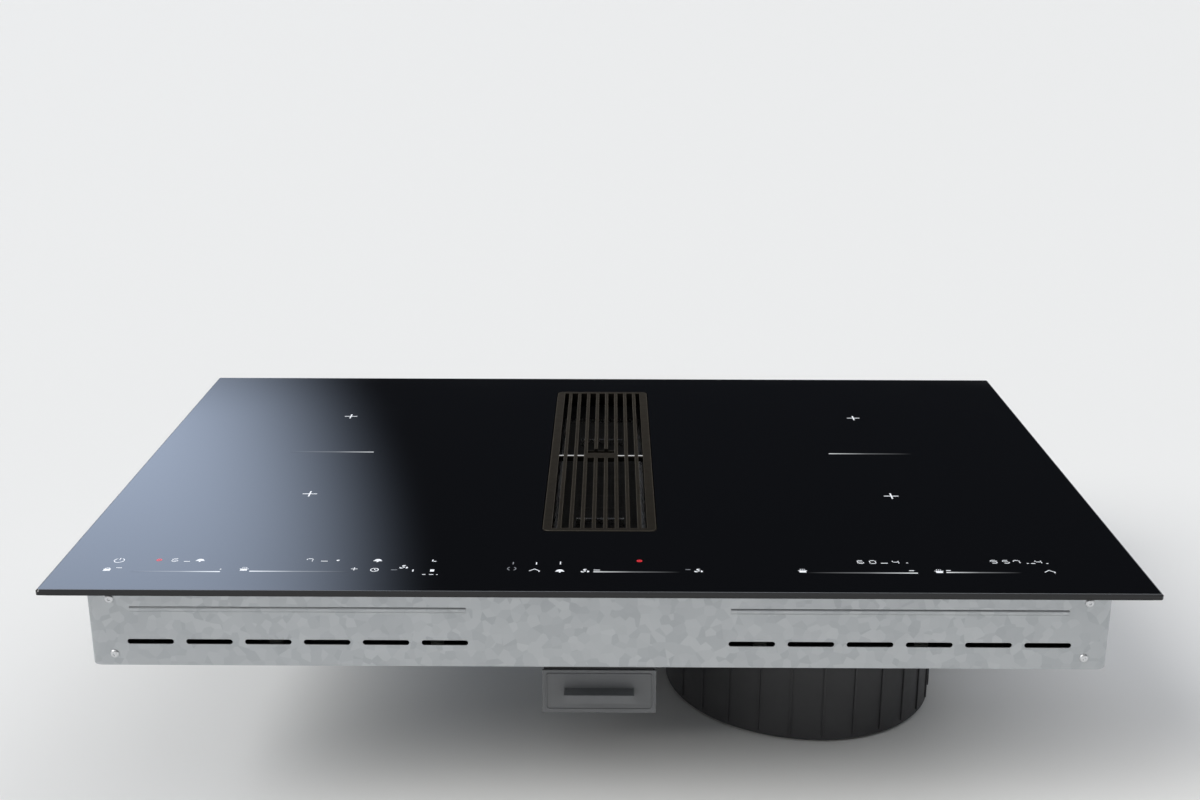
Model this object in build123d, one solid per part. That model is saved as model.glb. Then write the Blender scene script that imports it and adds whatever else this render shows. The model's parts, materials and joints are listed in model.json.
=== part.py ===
"""Downdraft induction cooktop with its extractor, as separate solids.

Frame: the origin is the centre of the glass on the worktop's upper plane,
+X to the user's right, +Y to the back, +Z up. All sizes are in millimetres.
"""
import os
from math import cos, radians, sin

from build123d import *

# ---------------------------------------------------------------- glass
GLASS_WIDTH = 800.0
GLASS_DEPTH = 520.0
GLASS_THICK = 4.0
GLASS_CORNER = 3.0
GLASS_FACET = 1.3
SEAL_THICK = 2.0
SEAL_WIDTH = 8.0
SEAL_INSET = 4.0

# ---------------------------------------------------------------- casing
CUTOUT_WIDTH = 750.0        # hole in the worktop that the casing drops into
GLASS_LAP = 15.0            # glass in front of and behind that hole
CUTOUT_PLAY = 3.0
WORKTOP_THICK = 38.0
CASING_SHEET = 1.0
CASING_CORNER = 8.0
CASING_FLANGE = 9.0
CASING_DEEP = 62.0          # underside of the casing floor below the worktop plane
VENT_LONG = 34.0
VENT_WIDE = 4.0
VENT_PITCH = 9.0
VENT_ROWS = 3

# ---------------------------------------------------------------- grille
GRILLE_WIDTH = 89.0
GRILLE_FRONT = 112.0        # from the front edge of the glass
GRILLE_BACK = 47.0          # from its back edge
GRILLE_HEIGHT = 12.0
GRILLE_PROUD = 0.4
GRILLE_CORNER = 5.0
GRILLE_PLAY = 0.8
GRILLE_SIDE_RIM = 7.2
GRILLE_END_RIM = 5.0
BLADE_COUNT = 8
BLADE_PITCH = 9.0
BLADE_TOP = 3.2
BLADE_FOOT = 1.8
CROSSBAR_WIDTH = 12.0
CROSSBAR_BACK = 1.6         # back edge of the crossbar in front of the grille's middle
CROSSBAR_DROP = 2.5
CROSSBAR_THICK = 4.0
FINGER_SLOT = 11.5
FINGER_GAPS = 3             # blade gaps that the finger slot joins into one
PAD_THICK = 1.5
PAD_WIDE = 3.6
PAD_LONG = 30.0

# ---------------------------------------------------------------- intake shaft and filter
SHAFT_WALL = 2.5
SHAFT_FLANGE = 8.0
SHAFT_FLANGE_THICK = 1.5
LEDGE = 4.5
FILTER_LEDGE_DROP = 15.0    # filter ledge below the grille ledge
FILTER_PLAY = 0.8
FILTER_SHEET = 1.2
FILTER_DEEP = 28.0
FILTER_LIP = 3.0
MESH_THICK = 1.5
MESH_SLOT_LONG = 13.0
MESH_SLOT_WIDE = 4.0
MESH_BRIDGE = 2.0
MESH_EDGE = 5.0
HANDLE_ROD = 3.0
HANDLE_SPAN = 40.0
HANDLE_RISE = 7.0
HANDLE_SPACING = 200.0

# ---------------------------------------------------------------- air duct and drip tray
DUCT_WALL = 2.5
DUCT_FLANGE = 9.0
DUCT_HIGH = 44.0
DUCT_PLAY = 3.0             # duct wall outside the shaft
DUCT_SPACER = 3.0
SUMP_HIGH = 38.0
TONGUE_HALF = 92.0          # half the width of the branch over the blower
TRAY_WALL = 1.8
TRAY_PLAY = 2.0
TRAY_HIGH = 30.0
TRAY_FRONT_LIP = 4.0
TRAY_GRIP_OUT = 14.0
TRAY_GRIP_WIDE = 56.0
RAIL_WIDE = 6.0
RAIL_HIGH = 2.5
SLIDE_PLAY = 0.2

# ---------------------------------------------------------------- blower
BLOWER_X = 195.0
BLOWER_Y = 15.0
VOLUTE_R = 92.0             # smallest inner radius of the volute
VOLUTE_STEP = 16.0          # growth of the radius at each quarter turn
VOLUTE_WALL = 2.5
VOLUTE_HIGH = 88.0
VOLUTE_FLANGE = 9.0
VOLUTE_END = 125.0          # outlet face behind the blower axis
THROAT = 84.0               # width of the volute's outlet
MOUTH_R = 58.0
MOUTH_LIP = 8.0
MOUTH_WALL = 2.0
MOUTH_FLANGE = 14.0
MOUTH_FLANGE_THICK = 1.5
IMPELLER_R = 76.0
IMPELLER_EYE_R = 57.0
IMPELLER_BACK = 2.0
IMPELLER_RING = 3.0
IMPELLER_GAP = 5.0
IMPELLER_BLADES = 30
IMPELLER_BLADE_THICK = 1.4
IMPELLER_BLADE_LEAN = 24.0
MOTOR_R = 40.0
MOTOR_HIGH = 38.0
STATOR_SLOTS = 9
ROTOR_WALL = 4.0
STATOR_GAP = 1.0
MOTOR_BASE_THICK = 3.0
BEARING_R = 11.0
BEARING_THICK = 7.0
SHAFT_R = 4.0
RUNNING = 0.05              # radial clearance of a running fit
SPIGOT_WIDTH = 218.0        # slips into a 222 x 89 flat duct
SPIGOT_HEIGHT = 85.0
SPIGOT_CORNER = 8.0
SPIGOT_LONG = 30.0
SPIGOT_WALL = 2.0
SPIGOT_X = 164.0
DIFFUSER_LONG = 75.0

# ---------------------------------------------------------------- induction coils
ZONE_X = 240.8
COIL_FRONT = 94.0           # edge of the front coils, from the front edge of the glass
COIL_BACK = 32.0            # edge of the back coils, from its back edge
COIL_GAP = 14.0
COIL_EYE_R = 24.0
COIL_TURNS = 14
COIL_THICK = 4.0
COIL_GROOVE = 1.0
MICA_THICK = 1.0
FORMER_THICK = 3.0
FORMER_SKIRT = 9.0
FORMER_EDGE = 3.0
FERRITE_COUNT = 8
FERRITE_MARGIN = 13.0       # from a bar's outer end to the edge of the coil
FERRITE_WIDE = 14.0
FERRITE_THICK = 5.0
SENSOR_R = 6.0
CARRIER_THICK = 2.0
CARRIER_MARGIN = 12.0
CARRIER_WINDOW_R = 12.0
SPRING_STRIP = 1.0
SPRING_WIDE = 14.0
SPRING_FOOT = 18.0

# ---------------------------------------------------------------- electronics
BOARD_THICK = 1.6
BOARD_X = 190.0
BOARD_WIDTH = 220.0
BOARD_FRONT = 46.0          # front of the boards behind the front of the coil carriers
BOARD_BACK = 65.0           # back of the boards in front of the cooling fans
BOARD_POST = 8.0
BOARD_POST_R = 3.5
BOARD_POST_INSET = 8.0
SINK_LONG = 150.0
SINK_WIDE = 42.0
SINK_HIGH = 24.0
SINK_BASE = 4.0
SINK_FINS = 8
SINK_FIN_THICK = 1.6
SINK_X = 62.0               # from the middle of the board, outwards
CHIP_WIDE = 16.0
CHIP_HIGH = 20.0
CHIP_THICK = 5.0
CHIP_COUNT = 4
CAPACITOR_R = 11.0
CAPACITOR_HIGH = 26.0
CAPACITOR_COUNT = 4
CHOKE_R = 16.0
CHOKE_WIRE_R = 6.0
COOLER_SIZE = 80.0
COOLER_HIGH = 20.0
COOLER_X = 300.0
COOLER_BACK = 62.0          # middle of the fans, from the back of the casing
COOLER_BORE_R = 38.0
COOLER_HUB_R = 15.0
COOLER_TIP_GAP = 1.2
COOLER_BLADES = 7
COOLER_BLADE_WIDE = 24.0
COOLER_BLADE_TILT = 32.0
COOLER_STRUT = 4.0
PIN_R = 2.0

# ---------------------------------------------------------------- touch controls
CONTROL_WIDTH = 700.0
CONTROL_DEPTH = 42.0
CONTROL_FRONT = 22.0        # from the front edge of the glass
CONTROL_DROP = 10.0         # top of the board below the glass
HOLDER_WALL = 2.0
HOLDER_LIP = 5.0
GUIDE_DEPTH = 6.0
SLIDER_ROW = 35.5           # rows of marks, from the front edge of the glass
DISPLAY_ROW = 54.5
DISPLAY_WIDE = 46.0
DISPLAY_DEEP = 12.0
SLIDERS = ((-308.0, 66.0), (-219.0, 74.0), (28.0, 64.0), (192.0, 82.0), (281.0, 56.0))
DISPLAYS = (-316.0, -208.0, 31.0, 211.0, 312.0)

# ---------------------------------------------------------------- mains connection
TERMINAL_X = -165.0
TERMINAL_BACK = 57.0        # middle of the box, from the back of the casing
TERMINAL_WIDTH = 110.0
TERMINAL_DEPTH = 84.0
TERMINAL_HIGH = 40.0
TERMINAL_WALL = 2.0
TERMINAL_POLES = 6
TERMINAL_POLE_WIDE = 11.0
TERMINAL_BLOCK_DEPTH = 24.0
TERMINAL_BLOCK_HIGH = 17.0
TERMINAL_SCREW_R = 2.5
HINGE_R = 2.0
HINGE_EAR = 5.0
GLAND_BORE_R = 6.5
GLAND_R = 10.0
GLAND_LONG = 26.0
GLAND_NUT_R = 13.5
GLAND_NUT_THICK = 6.0

# ---------------------------------------------------------------- worktop clamps
CLAMP_SHEET = 2.5
CLAMP_WIDE = 30.0
CLAMP_REACH = 20.0
CLAMP_TRAVEL = 10.0
CLAMP_END = 92.0            # middle of the clamps, from the front and back of the casing
CLAMP_PLAY = 0.2
CLAMP_SCREW_R = 2.5
CLAMP_SLOT_PLAY = 0.3
CLAMP_EDGE = 4.0

# ---------------------------------------------------------------- fasteners
SCREW_R = 2.0
SCREW_HEAD_R = 4.0
SCREW_HEAD = 2.4
SCREW_PLAY = 0.3

# ---------------------------------------------------------------- wiring
LEAD_R = 1.8
LEAD_INSET = 20.0           # from a coil lead's end to the back edge of the board
BLOWER_LEAD_R = 3.0
RIBBON_WIDE = 26.0
RIBBON_THICK = 1.0
GROMMET_WALL = 2.5

# ---------------------------------------------------------------- levels and places worked out
GLASS_UNDER = SEAL_THICK
GLASS_TOP = GLASS_UNDER + GLASS_THICK
CASING_WIDTH = CUTOUT_WIDTH - 2 * CUTOUT_PLAY
CASING_LENGTH = GLASS_DEPTH - 2 * GLASS_LAP - 2 * CUTOUT_PLAY
FLOOR_TOP = CASING_SHEET - CASING_DEEP
GRILLE_LENGTH = GLASS_DEPTH - GRILLE_FRONT - GRILLE_BACK
GRILLE_Y = (GRILLE_FRONT - GRILLE_BACK) / 2
GRILLE_TOP = GLASS_TOP + GRILLE_PROUD
GRILLE_UNDER = GRILLE_TOP - GRILLE_HEIGHT
GRILLE_LEDGE_Z = GRILLE_UNDER - PAD_THICK
OPENING_WIDTH = GRILLE_WIDTH + 2 * GRILLE_PLAY
OPENING_LENGTH = GRILLE_LENGTH + 2 * GRILLE_PLAY
UPPER_WIDTH = OPENING_WIDTH - 2 * LEDGE
UPPER_LENGTH = OPENING_LENGTH - 2 * LEDGE
LOWER_WIDTH = UPPER_WIDTH - 2 * LEDGE
LOWER_LENGTH = UPPER_LENGTH - 2 * LEDGE
FILTER_LEDGE_Z = GRILLE_LEDGE_Z - FILTER_LEDGE_DROP
STEM_WIDTH = LOWER_WIDTH + 2 * SHAFT_WALL
STEM_LENGTH = LOWER_LENGTH + 2 * SHAFT_WALL
DUCT_TOP = -CASING_DEEP - DUCT_SPACER
DUCT_UNDER = DUCT_TOP - DUCT_WALL
DUCT_FLOOR = DUCT_UNDER - DUCT_HIGH
SUMP_WIDTH = STEM_WIDTH + 2 * DUCT_PLAY
SUMP_LENGTH = STEM_LENGTH + 2 * DUCT_PLAY
SUMP_FLOOR = DUCT_FLOOR - SUMP_HIGH
VOLUTE_TOP = DUCT_FLOOR - DUCT_WALL - MOUTH_FLANGE_THICK
VOLUTE_LID_UNDER = VOLUTE_TOP - VOLUTE_WALL
VOLUTE_FLOOR = VOLUTE_TOP - VOLUTE_HIGH + VOLUTE_WALL
CARRIER_TOP = GLASS_UNDER - MICA_THICK - COIL_THICK - FORMER_THICK - FORMER_SKIRT
BOARD_TOP = FLOOR_TOP + BOARD_POST + BOARD_THICK
CONTROL_TOP = GLASS_UNDER - CONTROL_DROP
COIL_R = (GLASS_DEPTH - COIL_FRONT - COIL_BACK - COIL_GAP) / 4
FERRITE_LONG = COIL_R - COIL_EYE_R - FERRITE_MARGIN
ZONE_BACK_Y = GLASS_DEPTH / 2 - COIL_BACK - COIL_R
ZONE_FRONT_Y = COIL_FRONT + COIL_R - GLASS_DEPTH / 2
ZONES = [(side * ZONE_X, y) for side in (-1, 1) for y in (ZONE_BACK_Y, ZONE_FRONT_Y)]
CARRIER_REACH = COIL_R + FORMER_EDGE + CARRIER_MARGIN
COOLER_Y = CASING_LENGTH / 2 - COOLER_BACK
BOARD_Y0 = ZONE_FRONT_Y - CARRIER_REACH + BOARD_FRONT
BOARD_Y1 = COOLER_Y - COOLER_SIZE / 2 - BOARD_BACK
BOARD_DEPTH = BOARD_Y1 - BOARD_Y0
BOARD_Y = (BOARD_Y0 + BOARD_Y1) / 2
TERMINAL_Y = CASING_LENGTH / 2 - TERMINAL_BACK
CLAMP_Y = CASING_LENGTH / 2 - CLAMP_END


# ---------------------------------------------------------------- helpers
def block(x0, x1, y0, y1, z0, z1):
    """A square-edged block between two corners."""
    size = Box(x1 - x0, y1 - y0, z1 - z0)
    return Pos((x0 + x1) / 2, (y0 + y1) / 2, (z0 + z1) / 2) * size


def plate(width, length, z0, z1, radius, x=0.0, y=0.0):
    """A plate with rounded corners, centred on X, Y, from Z0 up to Z1."""
    return Pos(x, y, z0) * extrude(RectangleRounded(width, length, radius), z1 - z0)


def rod(x, y, z0, z1, radius):
    """An upright round rod."""
    return Pos(x, y, (z0 + z1) / 2) * Cylinder(radius, z1 - z0)


def tube(x, y, z0, z1, outer, inner):
    """An upright tube."""
    return rod(x, y, z0, z1, outer) - rod(x, y, z0, z1, inner)


def bar_along_y(points, y0, y1):
    """A bar along Y whose section is the outline of (x, z) points."""
    outline = make_face(Polyline(*[(x, y0, z) for x, z in points], close=True))
    return extrude(outline, y1 - y0, dir=(0, 1, 0))


def bar_along_x(points, x0, x1):
    """A bar along X whose section is the outline of (y, z) points."""
    outline = make_face(Polyline(*[(x0, y, z) for y, z in points], close=True))
    return extrude(outline, x1 - x0, dir=(1, 0, 0))


def group(pieces):
    """Separate solids kept side by side in one sub-part."""
    solids = []
    for piece in pieces:
        solids.extend(piece.solids())
    return Compound(children=solids)


def flip_x(piece):
    """The same piece mirrored to the other side."""
    return mirror(piece, about=Plane.YZ)


def both_sides(piece):
    """The right-hand piece and its left-hand twin."""
    return [piece, flip_x(piece)]


# ---------------------------------------------------------------- glass, seal and casing
def make_glass():
    """The cooktop plate: one opening for the grille and a polished facet round the top edge."""
    glass = plate(GLASS_WIDTH, GLASS_DEPTH, GLASS_UNDER, GLASS_TOP, GLASS_CORNER)
    rim = glass.faces().sort_by(Axis.Z)[-1].edges()
    glass = chamfer(rim, GLASS_FACET)
    radius = GRILLE_CORNER + GRILLE_PLAY
    opening = plate(OPENING_WIDTH, OPENING_LENGTH, GLASS_UNDER - 1, GLASS_TOP + 1, radius, y=GRILLE_Y)
    return glass - opening


def make_seal():
    """Closed-cell foam strip between the glass and the worktop."""
    width = GLASS_WIDTH - 2 * SEAL_INSET
    length = GLASS_DEPTH - 2 * SEAL_INSET
    outer = plate(width, length, 0, SEAL_THICK, GLASS_CORNER)
    inner = plate(width - 2 * SEAL_WIDTH, length - 2 * SEAL_WIDTH, -1, SEAL_THICK + 1, GLASS_CORNER)
    return outer - inner


def duct_fixings():
    """Where the duct lid is screwed up to the casing floor."""
    side = SUMP_WIDTH / 2 + DUCT_WALL + DUCT_FLANGE / 2
    front = GRILLE_Y - SUMP_LENGTH / 2 + DUCT_FLANGE
    back = GRILLE_Y + SUMP_LENGTH / 2 - DUCT_FLANGE
    far = TONGUE_HALF + DUCT_WALL + DUCT_FLANGE / 2
    return [
        (-side, front),
        (-side, GRILLE_Y),
        (-side, back),
        (side, front),
        (side, back),
        (BLOWER_X, BLOWER_Y - far),
        (BLOWER_X, BLOWER_Y + far),
        (BLOWER_X + far, BLOWER_Y),
    ]


def cooler_centres():
    """Middles of the two cooling fans."""
    return [(COOLER_X, COOLER_Y), (-COOLER_X, COOLER_Y)]


def cooler_screws(x, y):
    """Corner screws of one cooling fan."""
    offset = COOLER_SIZE / 2 - SCREW_HEAD_R - SCREW_PLAY
    return [(x + i * offset, y + j * offset) for i in (-1, 1) for j in (-1, 1)]


def clamp_places():
    """Sides and depths of the four worktop clamps."""
    return [(side, y) for side in (-1, 1) for y in (-CLAMP_Y, CLAMP_Y)]


def clamp_screw_z():
    """Height of the screws that the clamps slide on."""
    return -WORKTOP_THICK - CLAMP_SHEET - 2 * CLAMP_EDGE - CLAMP_TRAVEL


def make_casing():
    """Pressed pan below the glass, with vents, screw holes and the shaft opening."""
    pan = plate(CASING_WIDTH, CASING_LENGTH, -CASING_DEEP, GLASS_UNDER, CASING_CORNER)
    inner_width = CASING_WIDTH - 2 * CASING_SHEET
    inner_length = CASING_LENGTH - 2 * CASING_SHEET
    inner_corner = CASING_CORNER - CASING_SHEET
    pan -= plate(inner_width, inner_length, FLOOR_TOP, GLASS_UNDER - CASING_SHEET, inner_corner)
    mouth_width = inner_width - 2 * CASING_FLANGE
    mouth_length = inner_length - 2 * CASING_FLANGE
    pan -= plate(mouth_width, mouth_length, FLOOR_TOP, GLASS_UNDER + 1, inner_corner)
    hole_width = STEM_WIDTH + 2 * SCREW_PLAY
    hole_length = STEM_LENGTH + 2 * SCREW_PLAY
    pan -= plate(hole_width, hole_length, -CASING_DEEP - 1, FLOOR_TOP + 1, SHAFT_WALL, y=GRILLE_Y)
    cuts = []
    for x, y in duct_fixings():
        cuts.append(rod(x, y, -CASING_DEEP - 1, FLOOR_TOP + 1, SCREW_R + SCREW_PLAY))
    for x, y in cooler_centres():
        cuts.extend(cooler_vents(x, y))
        for sx, sy in cooler_screws(x, y):
            cuts.append(rod(sx, sy, -CASING_DEEP - 1, FLOOR_TOP + 1, SCREW_R + SCREW_PLAY))
    cuts.extend(front_vents())
    for side, y in clamp_places():
        shank = Rot(0, 90, 0) * Cylinder(CLAMP_SCREW_R, 4 * CASING_SHEET)
        cuts.append(Pos(side * CASING_WIDTH / 2, y, clamp_screw_z()) * shank)
    cuts.append(rod(*blower_lead_place(), -CASING_DEEP - 1, FLOOR_TOP + 1, BLOWER_LEAD_R + GROMMET_WALL))
    hole = TERMINAL_BLOCK_DEPTH / 2
    cuts.append(rod(TERMINAL_X, TERMINAL_Y - hole, -CASING_DEEP - 1, FLOOR_TOP + 1, GLAND_BORE_R))
    return pan - cuts


def cooler_vents(x, y):
    """Rings of slots in the casing floor below one cooling fan."""
    vents = []
    for row in range(-VENT_ROWS, VENT_ROWS + 1):
        reach = (COOLER_BORE_R ** 2 - (row * VENT_PITCH) ** 2) ** 0.5 - VENT_WIDE
        slot = extrude(SlotOverall(2 * reach, VENT_WIDE), 2 * CASING_SHEET + 2)
        vents.append(Pos(x, y + row * VENT_PITCH, -CASING_DEEP - 1) * slot)
    return vents


def front_vents():
    """Warm air outlets in the front wall of the casing."""
    vents = []
    for side in (-1, 1):
        for row in range(-VENT_ROWS, VENT_ROWS):
            middle = side * (ZONE_X + row * (VENT_LONG + VENT_PITCH))
            front = -CASING_LENGTH / 2
            z = FLOOR_TOP + 2 * VENT_PITCH
            slot = extrude(Plane.XZ * SlotOverall(VENT_LONG, VENT_WIDE), 2 * CASING_SHEET, both=True)
            vents.append(Pos(middle, front, z) * slot)
    return vents


# ---------------------------------------------------------------- grille
def grille_window_ends():
    """Front and back of the slotted window of the grille."""
    half = GRILLE_LENGTH / 2 - GRILLE_END_RIM
    return GRILLE_Y - half, GRILLE_Y + half


def blade_places():
    """Middle of each grille blade along X."""
    return [(i - (BLADE_COUNT - 1) / 2) * BLADE_PITCH for i in range(BLADE_COUNT)]


def make_grille():
    """Cast grille: a rim, lengthwise blades, a crossbar and a finger slot behind it."""
    rim = plate(GRILLE_WIDTH, GRILLE_LENGTH, GRILLE_UNDER, GRILLE_TOP, GRILLE_CORNER, y=GRILLE_Y)
    window_width = GRILLE_WIDTH - 2 * GRILLE_SIDE_RIM
    front, back = grille_window_ends()
    rim = chamfer(rim.faces().sort_by(Axis.Z)[-1].edges(), GRILLE_PROUD)
    grille = rim - block(-window_width / 2, window_width / 2, front, back, GRILLE_UNDER - 1, GRILLE_TOP + 1)
    crossbar_back = GRILLE_Y - CROSSBAR_BACK
    crossbar_front = crossbar_back - CROSSBAR_WIDTH
    slot_half = FINGER_GAPS * BLADE_PITCH / 2
    for x in blade_places():
        top = BLADE_TOP / 2
        foot = BLADE_FOOT / 2
        ease = BLADE_TOP / 8
        section = [
            (x - foot, GRILLE_UNDER),
            (x + foot, GRILLE_UNDER),
            (x + top, GRILLE_TOP - BLADE_TOP),
            (x + top, GRILLE_TOP - ease),
            (x + top - ease, GRILLE_TOP),
            (x - top + ease, GRILLE_TOP),
            (x - top, GRILLE_TOP - ease),
            (x - top, GRILLE_TOP - BLADE_TOP),
        ]
        if abs(x) < slot_half - BLADE_TOP:
            grille += bar_along_y(section, front, crossbar_back)
            grille += bar_along_y(section, crossbar_back + FINGER_SLOT, back)
        else:
            grille += bar_along_y(section, front, back)
    low = GRILLE_TOP - CROSSBAR_DROP
    half = window_width / 2
    grille += block(-half, half, crossbar_back - CROSSBAR_THICK, crossbar_back, low - CROSSBAR_THICK, low)
    grip = slot_half
    grille += block(-grip, grip, crossbar_front, crossbar_back, GRILLE_TOP - CROSSBAR_THICK, GRILLE_TOP)
    slot_back = crossbar_back + FINGER_SLOT
    grille += block(-grip, grip, slot_back, slot_back + BLADE_TOP / 2, GRILLE_UNDER, low)
    return grille


def make_grille_pads():
    """Silicone pads that the grille rests on."""
    pads = []
    x = GRILLE_WIDTH / 2 - PAD_WIDE / 2
    reach = GRILLE_LENGTH / 2 - PAD_LONG
    for y in (GRILLE_Y - reach, GRILLE_Y, GRILLE_Y + reach):
        pad = block(x - PAD_WIDE / 2, x + PAD_WIDE / 2, y - PAD_LONG / 2, y + PAD_LONG / 2,
                    GRILLE_LEDGE_Z, GRILLE_UNDER)
        pads.extend(both_sides(pad))
    return group(pads)


# ---------------------------------------------------------------- intake shaft and grease filter
def make_shaft():
    """Intake shaft hung from the glass, stepped in for the grille and again for the filter."""
    flange_width = OPENING_WIDTH + 2 * (SHAFT_WALL + SHAFT_FLANGE)
    flange_length = OPENING_LENGTH + 2 * (SHAFT_WALL + SHAFT_FLANGE)
    flange_z = GLASS_UNDER - SHAFT_FLANGE_THICK
    corner = GRILLE_CORNER + GRILLE_PLAY
    bottom = DUCT_UNDER - SHAFT_WALL
    shaft = plate(flange_width, flange_length, flange_z, GLASS_UNDER, corner + SHAFT_WALL, y=GRILLE_Y)
    shaft += plate(OPENING_WIDTH + 2 * SHAFT_WALL, OPENING_LENGTH + 2 * SHAFT_WALL,
                   GRILLE_LEDGE_Z - SHAFT_WALL, GLASS_UNDER, corner + SHAFT_WALL, y=GRILLE_Y)
    shaft += plate(UPPER_WIDTH + 2 * SHAFT_WALL, UPPER_LENGTH + 2 * SHAFT_WALL,
                   FILTER_LEDGE_Z - SHAFT_WALL, GRILLE_LEDGE_Z, corner, y=GRILLE_Y)
    shaft += plate(STEM_WIDTH, STEM_LENGTH, bottom, FILTER_LEDGE_Z, SHAFT_WALL, y=GRILLE_Y)
    shaft -= plate(OPENING_WIDTH, OPENING_LENGTH, GRILLE_LEDGE_Z, GLASS_UNDER + 1, corner, y=GRILLE_Y)
    shaft -= plate(UPPER_WIDTH, UPPER_LENGTH, FILTER_LEDGE_Z, GRILLE_LEDGE_Z + 1, SHAFT_WALL, y=GRILLE_Y)
    shaft -= block(-LOWER_WIDTH / 2, LOWER_WIDTH / 2, GRILLE_Y - LOWER_LENGTH / 2,
                   GRILLE_Y + LOWER_LENGTH / 2, bottom - 1, FILTER_LEDGE_Z + 1)
    return shaft


def make_shaft_gasket():
    """Foam ring that closes the joint between the casing floor and the duct lid."""
    width = STEM_WIDTH + 2 * SHAFT_WALL
    length = STEM_LENGTH + 2 * SHAFT_WALL
    ring = plate(width, length, DUCT_TOP, -CASING_DEEP, SHAFT_WALL, y=GRILLE_Y)
    return ring - plate(STEM_WIDTH, STEM_LENGTH, DUCT_TOP - 1, 1 - CASING_DEEP, SHAFT_WALL / 2, y=GRILLE_Y)


def filter_sizes():
    """Outside width and length of the filter trough."""
    return LOWER_WIDTH - 2 * FILTER_PLAY, LOWER_LENGTH - 2 * FILTER_PLAY


def make_filter_frame():
    """Stainless trough with a rim on the shaft's ledge and a lip round its open bottom."""
    width, length = filter_sizes()
    rim_width = UPPER_WIDTH - 2 * FILTER_PLAY
    rim_length = UPPER_LENGTH - 2 * FILTER_PLAY
    rim_z = FILTER_LEDGE_Z + SLIDE_PLAY
    bottom = rim_z - FILTER_DEEP
    frame = plate(rim_width, rim_length, rim_z, rim_z + FILTER_SHEET, SHAFT_WALL, y=GRILLE_Y)
    frame += plate(width, length, bottom, rim_z, FILTER_SHEET, y=GRILLE_Y)
    inner_width = width - 2 * FILTER_SHEET
    inner_length = length - 2 * FILTER_SHEET
    frame -= plate(inner_width, inner_length, bottom + FILTER_SHEET, rim_z + 2 * FILTER_SHEET,
                   FILTER_SHEET / 2, y=GRILLE_Y)
    frame -= plate(inner_width - 2 * FILTER_LIP, inner_length - 2 * FILTER_LIP, bottom - 1,
                   bottom + 2 * FILTER_SHEET, FILTER_SHEET / 2, y=GRILLE_Y)
    return frame


def make_filter_mesh():
    """Two slotted steel sheets in the trough, the upper one on a folded edge."""
    width, length = filter_sizes()
    sheet_width = width - 2 * FILTER_SHEET
    sheet_length = length - 2 * FILTER_SHEET
    rim_z = FILTER_LEDGE_Z + SLIDE_PLAY
    lower = rim_z - FILTER_DEEP + FILTER_SHEET
    upper = rim_z - 2 * MESH_THICK
    across = int((sheet_width - 2 * MESH_EDGE) // (MESH_SLOT_WIDE + MESH_BRIDGE))
    along = int((sheet_length - 2 * MESH_EDGE) // (MESH_SLOT_LONG + MESH_BRIDGE))
    grid = GridLocations(MESH_SLOT_WIDE + MESH_BRIDGE, MESH_SLOT_LONG + MESH_BRIDGE, across, along)
    slots = grid * Rectangle(MESH_SLOT_WIDE, MESH_SLOT_LONG)
    outline = RectangleRounded(sheet_width, sheet_length, FILTER_SHEET / 2) - slots
    flat = extrude(outline, MESH_THICK)
    skirt = plate(sheet_width, sheet_length, lower + MESH_THICK, upper, FILTER_SHEET / 2, y=GRILLE_Y)
    skirt -= plate(sheet_width - 2 * MESH_THICK, sheet_length - 2 * MESH_THICK, lower, upper + 1,
                   FILTER_SHEET / 2, y=GRILLE_Y)
    return group([Pos(0, GRILLE_Y, lower) * flat, Pos(0, GRILLE_Y, upper) * flat, skirt])


def make_filter_handles():
    """Two wire grips that lift the filter out."""
    foot = FILTER_LEDGE_Z + SLIDE_PLAY - MESH_THICK
    handles = []
    for side in (-1, 1):
        y = GRILLE_Y + side * HANDLE_SPACING / 2
        half = HANDLE_SPAN / 2
        radius = HANDLE_ROD / 2
        wire = block(-half, half, y - radius, y + radius, foot + HANDLE_RISE - HANDLE_ROD, foot + HANDLE_RISE)
        for x in (-half, half - HANDLE_ROD):
            wire += block(x, x + HANDLE_ROD, y - radius, y + radius, foot, foot + HANDLE_RISE)
        handles.append(wire)
    return group(handles)


# ---------------------------------------------------------------- air duct and drip tray
def duct_solid(z0, z1, grow):
    """The duct's outline, GROW outside its inner faces: a long box and a round-ended branch."""
    length = SUMP_LENGTH + 2 * grow
    half = TONGUE_HALF + grow
    solid = plate(SUMP_WIDTH + 2 * grow, length, z0, z1, DUCT_WALL, y=GRILLE_Y)
    solid += block(0, BLOWER_X, BLOWER_Y - half, BLOWER_Y + half, z0, z1)
    return solid + rod(BLOWER_X, BLOWER_Y, z0, z1, half)


def make_duct_lid():
    """Flat lid of the duct, screwed up to the casing floor."""
    lid = duct_solid(DUCT_UNDER, DUCT_TOP, DUCT_WALL + DUCT_FLANGE)
    hole_width = STEM_WIDTH + 2 * SCREW_PLAY
    hole_length = STEM_LENGTH + 2 * SCREW_PLAY
    lid -= plate(hole_width, hole_length, DUCT_UNDER - 1, DUCT_TOP + 1, SHAFT_WALL, y=GRILLE_Y)
    holes = [rod(x, y, DUCT_UNDER - 1, DUCT_TOP + 1, SCREW_R + SCREW_PLAY) for x, y in duct_fixings()]
    return lid - holes


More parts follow.
